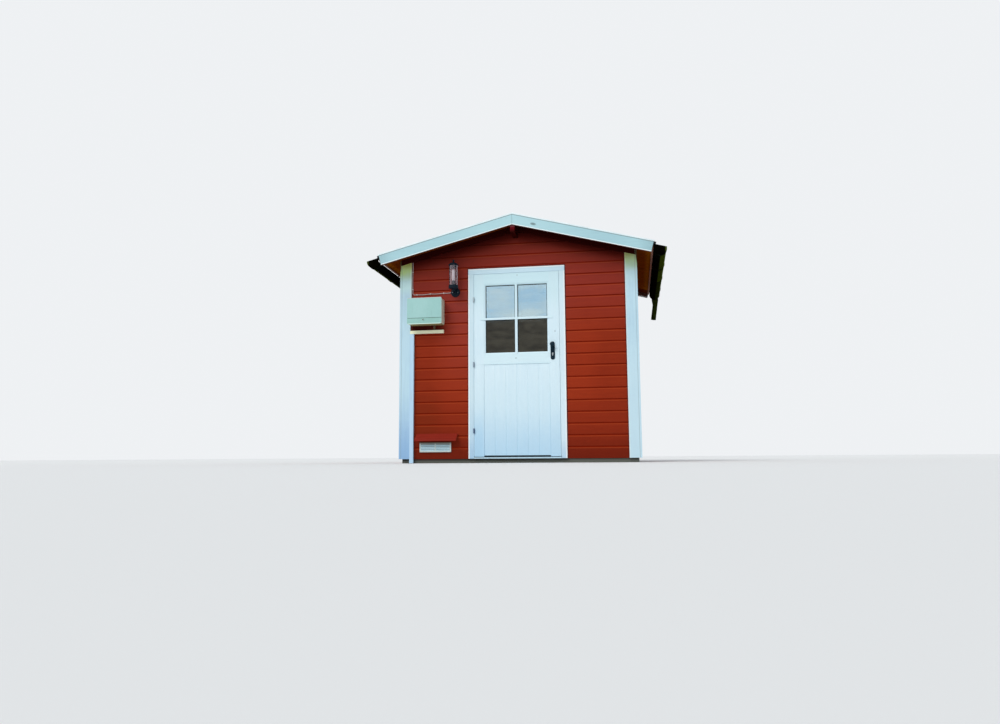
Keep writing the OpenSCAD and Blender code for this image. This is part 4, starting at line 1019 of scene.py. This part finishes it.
# Glazing: sloped beads round the panes on both sides, crossing bars, and near black strips round each pane,
# the painted shadow of the beads
panes = Values(bead=0.02, flat=0.45, sides=((-0.925, -0.913), (-0.889, -0.909)), glass=-0.913, barUp=0.014,
    barLevel=0.011, middle=1.51, over=0.038, proudUp=0.002, proudLevel=0.005, bevel=(0.004, 0.003),
    gasketLeft=0.0075, gasketRight=0.005, gasketTop=0.008, gasketLow=0.002)
bars = Piece("glazingBeads", "leafUp", "leafLevel", "sealRubber")
for faceY, glassY in panes.sides:
    inner = faceY + (glassY - faceY) * 0.55
    for side in (-1, 1):
        x0, x1 = side * door.window, side * (door.window - panes.bead)
        bars.prism([(x0, glassY), (x0, faceY), (x0 - side * panes.bead * panes.flat, faceY), (x1, inner),
            (x1, glassY)], 2, door.windowLow + door.inset, door.windowTop - door.inset, 0.0008)
    for z0, way in ((door.windowLow, 1), (door.windowTop, -1)):
        z1 = z0 + way * panes.bead
        bars.prism([(glassY, z0), (faceY, z0), (faceY, z0 + way * panes.bead * panes.flat), (inner, z1),
            (glassY, z1)], 0, -door.window + panes.bead * 0.5, door.window - panes.bead * 0.5, 0.0008, 1)
h, (slant, start) = panes.barUp, panes.bevel
bars.prism([(-h, panes.glass), (-h, door.face + start), (slant - h, door.face - panes.proudUp),
    (h - slant, door.face - panes.proudUp), (h, door.face + start), (h, panes.glass)], 2,
    door.windowLow + 0.001, door.windowTop - 0.001, 0.001)
low, high = panes.middle - panes.barLevel, panes.middle + panes.barLevel
bars.block((-door.window - panes.over, door.window + panes.over), (door.face - panes.proudLevel, door.face),
    (low, high), 0.0016, 1)
bars.block((-door.window + 0.001, door.window - 0.001), (door.face - 0.001, panes.glass),
    (low + door.inset, high - door.inset), 0.001, 1)
edgeX = door.window - panes.bead
for x0, x1 in ((-edgeX, -panes.barUp), (panes.barUp, edgeX)):
    for z0, z1 in ((door.windowLow + panes.bead, low), (high, door.windowTop - panes.bead)):
        for xs, zs in (((x0, x0 + panes.gasketLeft), (z0, z1)), ((x1 - panes.gasketRight, x1), (z0, z1)),
                ((x0, x1), (z1 - panes.gasketTop, z1)), ((x0, x1), (z0, z0 + panes.gasketLow))):
            bars.block(xs, (panes.glass - 0.0014, panes.glass + 0.0002), zs, 0, 2)
bars.done("door", "door_paint", "glazing_bars")
nodes["door_glass"].data.materials.clear()
nodes["door_glass"].data.materials.append(finishes["paneGlass"])
print("door leaf built")

# Seals in the frame's gap: the latch side and the head, and between the hinges
hingeZs = (0.332, 1.028, 1.724)
v = sealValues = Values(jamb=0.4565, thick=0.003, depth=(-0.9235, -0.915), low=0.07, head=1.9995, skip=0.032,
    sink=0.0002, round=0.0008)
seals = Piece("frameSeals", "sealPale")
inside, under = v.jamb - v.thick, v.head - v.thick
seals.block((inside, v.jamb + v.sink), v.depth, (v.low, v.head), v.round)
seals.block((-v.jamb, inside - 0.0005), v.depth, (under, v.head + v.sink), v.round)
ends = [v.low, *[z + side * v.skip for z in hingeZs for side in (-1, 1)], under - 0.001]
for zs in zip(ends[0::2], ends[1::2]):
    seals.block((-v.jamb - v.sink, -inside), v.depth, zs, v.round)
seals.done("hut", "white_paint")

# Lock: long plate, turned knob, profile cylinder and two screws; turned outlines are in millimetres
v = lockValues = Values(x=0.3805, z=1.155, half=0.022, straight=0.073, thick=0.005, knobUp=0.062, down=0.03,
    screwOut=0.01, knob="0,-1 16.5,-1 16.5,3 15,4.5 10,8 8.8,12 8.8,20 11,26 17,30 22.5,34 24.8,39 "
    "24.8,44 23.5,48 20,51.2 12,52.6 0,53", screw="0,0 4.2,0 4.2,0.6 3.2,1.6 0,1.8")
lock = Piece("lockPlate", "blackIron", "cylinderSteel", "darkHollow")
front = door.face - v.thick
lock.prism(arc(v.x, v.z + v.straight, v.half, 0, 180, 16) + arc(v.x, v.z - v.straight, v.half, 180, 360, 16),
    1, front, door.face + 0.0002, 0.0016, smooth=True)
lock.turned(v.knob, facing(v.x, front, v.z + v.knobUp), 40)
barrel = v.z - v.down
lock.prism(arc(v.x, barrel, 0.0085, -50, 230, 14) + arc(v.x, barrel - 0.0185, 0.005, 180, 360, 6), 1,
    front - 0.004, front + 0.002, 0.0008, 1)
lock.block((v.x - 0.0012, v.x + 0.0012), (front - 0.0044, front - 0.0035), (barrel - 0.005, barrel + 0.005),
    0, 2)
for side in (1, -1):
    z = v.z + side * (v.straight + v.screwOut)
    lock.turned(v.screw, facing(v.x, front, z), 16)
    lock.block((v.x - 0.003, v.x + 0.003), (front - 0.0021, front - 0.0014), (z - 0.0005, z + 0.0005), 0, 2)
lock.done("door", "black_metal", "door_lock")

# Hinges: two knuckles each, with plates in the gap beside the leaf
v = hingeValues = Values(x=-0.454, y=-0.9355, radius=0.008, edge=0.0012, half=0.025, gap=0.00015,
    plate=0.0015, depth=0.038, offset=0.0025)
lower, upper = Piece("hingeFrameKnuckles", "hingeSteel"), Piece("hingeLeafKnuckles", "hingeSteel")
for z in hingeZs:
    plateX = v.x - v.offset, v.x + v.offset - v.plate
    for piece, x, z0, z1 in ((lower, plateX[0], -v.half, -v.gap), (upper, plateX[1], v.gap, v.half)):
        r, inner = v.radius, v.radius - v.edge
        outline = [(0, z0), (inner, z0), (r, z0 + v.edge), (r, z1 - v.edge), (inner, z1), (0, z1)]
        piece.turned(outline, moved(v.x, v.y, z), 28)
        piece.block((x, x + v.plate), (v.y, v.y + v.depth), (z + z0, z + z1), 0.0003)
lower.done("hut", "hinge_steel", "hinge_frame_halves")
upper.done("door", "hinge_steel", "hinge_leaf_halves")
print("lock and hinges done")

# Wall lamp: stepped disc, arm, base ring, glass tube with an opal bulb, rods, domed cap with a ball
v = lampValues = Values(x=-0.656, out=0.1, discZ=1.813, glassZ=1.869, rods=4, rodAt=0.049, rod=0.003,
    arm=0.009, armAt=(0.017, 0.045, 0.075, 0.1), screwAt=0.03, screw="0,0 4.5,0 4,1.2 0,2.2",
    disc="0,0 50,0 50,7 48.5,9.5 43,10.5 41.5,12.5 39,15.5 32,17.2 18,18 0,18",
    collar="0,17 12.5,17 14,19 12.5,22 9,24 0,24",
    base="0,-68 10,-68 13.5,-65 14,-60 14,-46 17,-42.5 30,-38.5 46,-34.5 52,-31 53,-27.5 53,-21.5 "
    "50.5,-19.5 50.5,-9 53,-7 53,-1 52,0 0,0",
    cap="0,216 52.5,216 53,217.5 53,222.5 51.5,224.5 48,227 43,233 35,240 24,246 13,249.5 7,251 6,253 "
    "6,256.5 8.8,258.4 11.4,261.8 13,268 12,273 9.2,277.2 5,280 0,281",
    plug="0,216 41,216 41,200 37,190 30,186 0,186",
    socket="0,0 30,0 30,6 22.5,10 22.5,16 19.5,19 19.5,46 16.5,51 0,51",
    bulb="0,49 11,49 12.5,54 15.5,62 16.5,74 16.5,150 15.5,162 13,171 7.5,177 0,179",
    tube="45,0.5 45,215.5 42,215.5 42,0.5 45,0.5", rodEnds=(-0.001, 0.217))
lamp = Piece("lampIron", "lampIron", "screwSteel")
wall = -walls.halfDepth
disc = facing(v.x, wall, v.discZ)
axis = moved(v.x, wall - v.out, v.glassZ)
lamp.turned(v.disc, disc, 48)
for sx in (-v.screwAt, v.screwAt):
    lamp.turned(v.screw, disc @ moved(sx, 0, 0.0164), 14, 1)
lamp.bar([(v.x, wall - out, v.discZ) for out in v.armAt], v.arm, 20)
lamp.turned(v.collar, disc, 28)
lamp.turned(v.base, axis, 48)
for k in range(v.rods):
    a = (k + 0.5) * tau / v.rods
    px, py = v.x + v.rodAt * cos(a), wall - v.out + v.rodAt * sin(a)
    lamp.bar([(px, py, v.glassZ + end) for end in v.rodEnds], v.rod, 12)
lamp.turned(v.cap, axis, 48)
lamp.turned(v.plug, axis, 40)
lamp.turned(v.socket, axis, 32)
lamp.done("hut", "black_metal", "lamp_body")
bulb = Piece("lampBulb", "opalBulb")
bulb.turned(v.bulb, axis, 36)
bulb.done("hut", "lamp_glass")
tube = Piece("lampTube", "tubeGlass")
tube.turned(v.tube, axis, 64)
tube.done("hut", "lamp_glass", "lamp_glass")

# Electric box with its lid, flap and latch, its gland, and the trunking below it
v = boxValues = Values(x=-1.149, z=1.46, wide=0.375, tall=0.283, deep=0.148, lid=0.012, over=0.004,
    corner=0.014, round=0.003, flap=0.063, flapGap=0.004, latchAt=(0.175, 0.048), slit=(0.0075, 0.0008),
    screwIn=0.02, screwLow=0.087, glandAt=(0.265, -0.015, -0.05), latch="0,-1 10,-1 10,4 8.8,6.2 7,7 0,7",
    latchDisc="0,6.6 6.2,6.6 5.8,7.3 0,7.3", screw="0,-0.5 6.5,-0.5 6.2,1 0,1.4",
    gland="0,-1 8,-1 8,12 10,14 10,20 12,22 12,41 10,43 10,55.5 0,55.5")


# A rectangle with rounded corners below, above or both
def boxOutline(inset, low, high, lowRound=True, highRound=True):
    x0, x1, z0, z1, r = v.x + inset, v.x + v.wide - inset, v.z + low, v.z + high, v.corner
    return [*(arc(x1 - r, z0 + r, r, -90, 0, 6) if lowRound else [(x1, z0)]),
            *(arc(x1 - r, z1 - r, r, 0, 90, 6) if highRound else [(x1, z1)]),
            *(arc(x0 + r, z1 - r, r, 90, 180, 6) if highRound else [(x0, z1)]),
            *(arc(x0 + r, z0 + r, r, 180, 270, 6) if lowRound else [(x0, z0)])]


box = Piece("boxShell", "boxPlastic", "darkHollow", "screwSteel", "boxFlap", "glandPlastic")
lidY, lidFrom = wall - v.deep, v.flap + v.flapGap
lidBack = lidY + v.lid
box.prism(boxOutline(v.over, v.over, v.tall - v.over), 1, lidBack - 0.001, wall, 0.0012, smooth=True)
box.prism(boxOutline(0, 0, v.flap, True, False), 1, lidY, lidBack, v.round, 3, steps=3, smooth=True)
box.prism(boxOutline(0, lidFrom, v.tall, False, True), 1, lidY, lidBack, v.round, steps=3, smooth=True)
box.block((v.x + 0.003, v.x + v.wide - 0.003), (lidY + 0.003, lidBack - 0.001),
    (v.z + v.flap - 0.002, v.z + lidFrom + 0.002), 0.0005, 1)
latchX, latchZ = v.x + v.latchAt[0], v.z + v.latchAt[1]
box.turned(v.latch, facing(latchX, lidY, latchZ), 28)
box.turned(v.latchDisc, facing(latchX, lidY, latchZ), 20, 4)
box.block((latchX - v.slit[0], latchX + v.slit[0]), (lidY - 0.0078, lidY - 0.0065),
    (latchZ - v.slit[1], latchZ + v.slit[1]), 0, 1)
for sx in (v.screwIn, v.wide - v.screwIn):
    for sz in (v.screwLow, v.tall - v.screwIn):
        box.turned(v.screw, facing(v.x + sx, lidY, v.z + sz), 20)
box.turned(v.gland, moved(v.x + v.glandAt[0], wall + v.glandAt[1], v.z + v.glandAt[2]), 24, 4)
box.done("hut", "box_plastic", "electric_box")
v = trunkValues = Values(x=-1.149, wide=0.042, deep=0.03, top=1.41, low=0.003, levelLow=1.376, endX=-0.781,
    seam=0.008, inset=0.002, slip=0.0006)
trunk = Piece("trunkDucts", "trunkPlastic")
y0, y1, x1 = wall - v.deep, wall, v.x + v.wide
# The cover stands proud of the duct behind it, with a seam between them
for ys, slip in (((y0 + v.seam + 0.0008, y1), v.slip), ((y0, y0 + v.seam), 0.0)):
    trunk.block((v.x + slip, x1 - slip), ys, (v.low, v.levelLow - 0.001), 0.0014)
    trunk.block((v.x + slip, x1 - slip), ys, (v.levelLow, v.top), 0.0014)
    trunk.block((x1 + v.slip, v.endX), ys, (v.levelLow + slip, v.top - slip), 0.0014)
trunk.block((v.x + v.inset, x1 - v.inset), (y0 + v.inset, y1), (v.low + v.inset, v.top - v.inset), 0)
trunk.block((x1 - 0.004, v.endX - v.inset), (y0 + v.inset, y1), (v.levelLow + v.inset, v.top - v.inset), 0)
trunk.done("hut", "trunk_plastic", "cable_trunking")
print("lamp, box and trunking done")

# Clipped cable: it hangs a little between its clips
v = cableValues = Values(x=-1.1285, y=-0.9198, top=2.159, bendZ=1.805, bend=0.022, endX=-0.7063, endZ=1.813,
    radius=0.0043, steps=8, sway=0.0018, sag=0.0035, sagRun=0.14, clipUps=(0.251, 0.06),
    clipRuns=(0.025, 0.173, 0.321), clipHalf=0.004, clipThick=0.003, clipBore=0.0048,
    screw="0,0 1.6,0 1.3,0.8 0,1")
rise = atan((v.endZ - v.bendZ) / (v.endX - v.x))
ahead = (cos(rise), 0, sin(rise))
lowX, lowZ = v.x + v.bend * (1 + sin(rise)), v.bendZ + v.bend * (1 - cos(rise))
upEnds = [v.top, *[v.bendZ + up for up in v.clipUps], v.bendZ + v.bend]
path = []
for a, b, side in zip(upEnds, upEnds[1:], (1, -1, 1)):
    for k in range(v.steps):
        path.append((v.x + side * v.sway * sin(pi * k / v.steps), v.y, a + (b - a) * k / v.steps))
for x, z in arc(v.x + v.bend, v.bendZ + v.bend, -v.bend, 0, 90 + degrees(rise), v.steps):
    path.append((x, v.y, z))
runEnds = [0.0, *v.clipRuns, (v.endX - lowX) / cos(rise)]
for a, b in zip(runEnds, runEnds[1:]):
    for k in range(1, v.steps + 1):
        along, hang = a + (b - a) * k / v.steps, v.sag * sin(pi * k / v.steps) * min(1, (b - a) / v.sagRun)
        path.append((lowX + along * ahead[0], v.y, lowZ + along * ahead[2] - hang))
cable = Piece("supplyCable", "cableSheath", "clipPlastic", "screwSteel")
cable.bar(path, v.radius, 12)


# A clip: a half round over the cable, a foot on both sides, and a screw in one
def saddle(at):
    b, foot = v.clipBore, v.clipBore + v.clipThick
    outline = [(-foot, 0), (-b, 0), *arc(0, b, b, 180, 0, 9), (b, 0), (foot, 0), (foot, b),
        *arc(0, b, b + v.clipThick * 0.7, 0, 180, 9), (-foot, b)]
    cable.prism(outline, 2, -v.clipHalf, v.clipHalf, 0, 1, at)
    spot = at @ moved(b + v.clipThick * 0.62, b * 0.9 + 0.0005, 0)
    cable.turned(v.screw, spot @ Matrix.Rotation(-pi / 2, 4, "X"), 10, 2)


for up in v.clipUps[::-1]:
    saddle(axes((1, 0, 0), (0, -1, 0), (0, 0, -1), (v.x, wall, v.bendZ + up)))
for along in v.clipRuns:
    saddle(axes((-ahead[2], 0, ahead[0]), (0, -1, 0), ahead,
        (lowX + along * ahead[0], wall, lowZ + along * ahead[2])))
cable.done("hut", "cable_sheath", "supply_cable")

# Vent: frame with a middle bar, sloping louvres in both fields, and a board over it
v = ventValues = Values(x=-0.871, wide=0.338, tall=0.102, deep=0.016, rim=0.012, low=0.116, louvres=5,
    back=0.003, inset=0.002, seed=2, screw="0,-0.5 3.4,-0.5 3,0.8 0,1.2", slat=((-2.2, 0.98), (-11.8, 0.86),
    (-12.8, 0.78), (-13.6, 0.26), (-13.0, 0.18), (-11.8, 0.16), (-2.2, 0.46)))
vent = Piece("ventFrame", "ventFrame", "darkHollow", "screwSteel")
left, right, top = v.x - v.wide / 2, v.x + v.wide / 2, v.low + v.tall
front, rim = wall - v.deep, v.rim
inner = (v.low + v.inset, top - v.inset)
vent.block((left + v.inset, right - v.inset), (wall - v.back, wall), inner, 0, 1)
vent.block((left, left + rim), (front, wall), (v.low, top))
vent.block((right - rim, right), (front, wall), (v.low, top))
vent.block((v.x - rim / 2, v.x + rim / 2), (front + 0.001, wall), inner)
for z in (v.low, top - rim):
    vent.block((left + 0.003, right - 0.003), (front + 0.0003, wall), (z, z + rim))
for sx in (left + rim / 2, right - rim / 2):
    for z in (v.low + rim / 2, top - rim / 2):
        vent.turned(v.screw, facing(sx, front, z), 14, 2)
vent.done("hut", "vent_metal", "vent_grille")
slat = Piece("slat", "ventMetal")
slatStep = (v.tall - 2 * rim) / v.louvres
slat.prism([(y / 1000, slatStep * z) for y, z in v.slat], 0, left + rim - 0.001, right - rim + 0.001, 0,
    turn=moved(0, wall, 0))
joined("ventLouvres", "ventMetal", "vent_metal", (), grow(repeatAlong, meshOf(slat.body, "slat"),
    Count=v.louvres, Step=(0.0, 0.0, slatStep), Start=(0.0, 0.0, v.low + rim), Seed=v.seed,
    Finish="ventMetal"))
softened("redHood", "red_timber", 0.002, "vent_hood")
print("cable and vent done")


# Screws: countersunk heads, painted over with the board they hold
def screwTree():
    g = makeTree("setScrews", Vector="Facing", Float="Size")
    v = g.given
    turn = g.node("FunctionNodeAlignRotationToVector", {"Vector": v.Facing}, axis="Z")
    points = g.node("GeometryNodeMeshToPoints", {"Mesh": v.Shape})
    head = g.node("GeometryNodeMeshCylinder", {"Vertices": 12, "Radius": 0.0042, "Depth": 0.0012})
    bar = g.node("GeometryNodeMeshCube", {"Size": (0.0056, 0.001, 0.0006)})
    bar = g.node("GeometryNodeTransform", {"Geometry": bar, "Translation": (0.0, 0.0, 0.0006)})
    both = g.node("GeometryNodeJoinGeometry", {0: head})
    g.tree.links.new(bar.socket, both.socket.node.inputs[0])
    return endTree(g, g.node("GeometryNodeInstanceOnPoints", {"Points": points, "Instance": both,
        "Rotation": turn, "Scale": g.join(v.Size, v.Size, v.Size)}))


setScrews = screwTree()


# The same screws on the front and, seen through the hut, on the rear
def screws(name, material, spots):
    for label, side in (("Front", -1), ("Rear", 1)):
        mesh = bpy.data.meshes.new(name)
        mesh.from_pydata([(x, side * y, z) for x, y, z in spots], [], [])
        made = grow(setScrews, mesh, Facing=(0, side, 0), Size=1.0, Finish=material)
        joined(name + label, material, "white_paint", (), made)


v = screwValues = Values(cornerX=(1.162, 1.224), cornerY=0.9348, cornerLow=0.16, cornerStep=0.46,
    bargeY=1.1718, bargeFrom=0.06, bargeStep=0.34, bargeSide=0.03, rows=5)
steps = range(v.rows)
screws("cornerScrews", "whiteUpright", [(side * x, v.cornerY, v.cornerLow + i * v.cornerStep)
    for side in (-1, 1) for i in steps for x in v.cornerX])
spots = [(side, v.bargeFrom + i * v.bargeStep, n) for side in (-1, 1) for i in steps
    for n in (-v.bargeSide, v.bargeSide)]
spots = [(side * (along * run + n * fall), v.bargeY, walls.ridge - along * fall + n * run)
    for side, along, n in spots]
screws("bargeScrews", "whiteSlope", spots)
print("screws set")


# One flat sheet for the surroundings
def sheet(name, corners):
    mesh = bpy.data.meshes.new(name)
    mesh.from_pydata(corners, [], [(0, 1, 2, 3)])
    made = bpy.data.objects.new(name, mesh)
    scene.collection.objects.link(made)
    return made, Finish(name)


# Floor, light and camera
v = stageValues = Values(floor=(0.8, 0.81, 0.82), floorSecond=(0.74, 0.75, 0.76), floorHalf=60,
    lightStrength=0.62, light=(0.93, 0.97, 1.0), back=(0.86, 0.88, 0.9), sun=1.7, sunAngle=34.0,
    sunFrom=(-0.55, -1.0, 1.05), sunColour=(1.0, 0.985, 0.96))
k = v.floorHalf
floor, f = sheet("studioFloor", [(-k, -k, 0), (k, -k, 0), (k, k, 0), (-k, k, 0)])
f.colour = f.blend(f.noise(f.place, 0.4, 2.0) * 0.06, v.floor, v.floorSecond)
f.wear(0.9)
floor.data.materials.append(finishes["studioFloor"])
floor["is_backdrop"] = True

# A tall card behind the camera, seen only in gloss and glass: dark up to the middle of the door's window and
# pale above it
mirror = Values(y=-9.9, halfWide=14.0, top=9.0, middle=3.13, soft=0.02, dark=(0.112, 0.097, 0.075),
    darkSecond=(0.05, 0.044, 0.038), pale=(0.52, 0.77, 0.96), paleSecond=(0.8, 0.94, 0.97))
card, f = sheet("mirrorCard", [(mirror.halfWide, mirror.y, 0), (-mirror.halfWide, mirror.y, 0),
    (-mirror.halfWide, mirror.y, mirror.top), (mirror.halfWide, mirror.y, mirror.top)])
z = f.parts(f.place)[2]
flat = f.noise(f.bend("MULTIPLY", f.place, (0.7, 1.0, 2.2)), 5.0, 5.0, 0.7)
haze = f.noise(f.bend("MULTIPLY", f.place, (0.5, 1.0, 1.6)), 1.7, 4.0, 0.6)
shown = f.blend(f.fade(z, mirror.middle - mirror.soft, mirror.middle + mirror.soft),
    f.blend(f.fade(flat, 0.35, 0.68), mirror.dark, mirror.darkSecond),
    f.blend(f.fade(haze, 0.35, 0.65), mirror.pale, mirror.paleSecond))
f.colour = (0, 0, 0, 1)
f.wear(1.0, 0.0, **{"Emission Strength": 1.0, "Emission Color": shown})
card.data.materials.append(finishes["mirrorCard"])
card.visible_camera = card.visible_diffuse = card.visible_shadow = False
card.visible_transmission = card.visible_volume_scatter = False
card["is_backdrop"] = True

# The world lights the hut with one tone and shows another to the camera, in gloss and through glass
world = scene.world = bpy.data.worlds.new("studio")
world.use_nodes = True
g = Graph(world.node_tree)
g.tree.nodes.clear()
ray = [g.node("ShaderNodeLightPath", out=name) for name in ("Is Camera Ray", "Is Glossy Ray",
    "Is Transmission Ray")]
lit = g.node("ShaderNodeBackground", {"Color": (*v.light, 1), "Strength": v.lightStrength})
pale = g.node("ShaderNodeBackground", {"Color": (*v.back, 1), "Strength": 1.0})
shown = g.node("ShaderNodeMixShader", {0: g.larger(g.larger(ray[0], ray[1]), ray[2]), 1: lit, 2: pale})
g.feed(g.tree.nodes.new("ShaderNodeOutputWorld").inputs["Surface"], shown)

sunData = bpy.data.lights.new("softSun", "SUN")
sunData.energy, sunData.angle, sunData.color = v.sun, radians(v.sunAngle), v.sunColour
sun = bpy.data.objects.new("softSun", sunData)
sun.rotation_mode = "QUATERNION"
sun.rotation_quaternion = Vector(v.sunFrom).to_track_quat("Z", "Y")
scene.collection.objects.link(sun)

v = cameraValues = Values(place=(1.18335, -8.89662, 0.065), right=(0.985612, 0.168894, -0.006665),
    up=(0.026938, -0.118031, 0.992645), focal=776.795, width=1000.0, sensor=36.0)
cameraData = bpy.data.cameras.new("camera")
cameraData.sensor_width = v.sensor
cameraData.lens = v.sensor * v.focal / v.width
cameraData.clip_start, cameraData.clip_end = 0.01, 300.0
camera = bpy.data.objects.new("camera", cameraData)
scene.collection.objects.link(camera)
right, up = Vector(v.right).normalized(), Vector(v.up).normalized()
camera.matrix_world = axes(right, up, right.cross(up), v.place)
scene.camera = camera
scene.view_settings.view_transform = "Standard"
print("stage, light and camera set")

low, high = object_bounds()
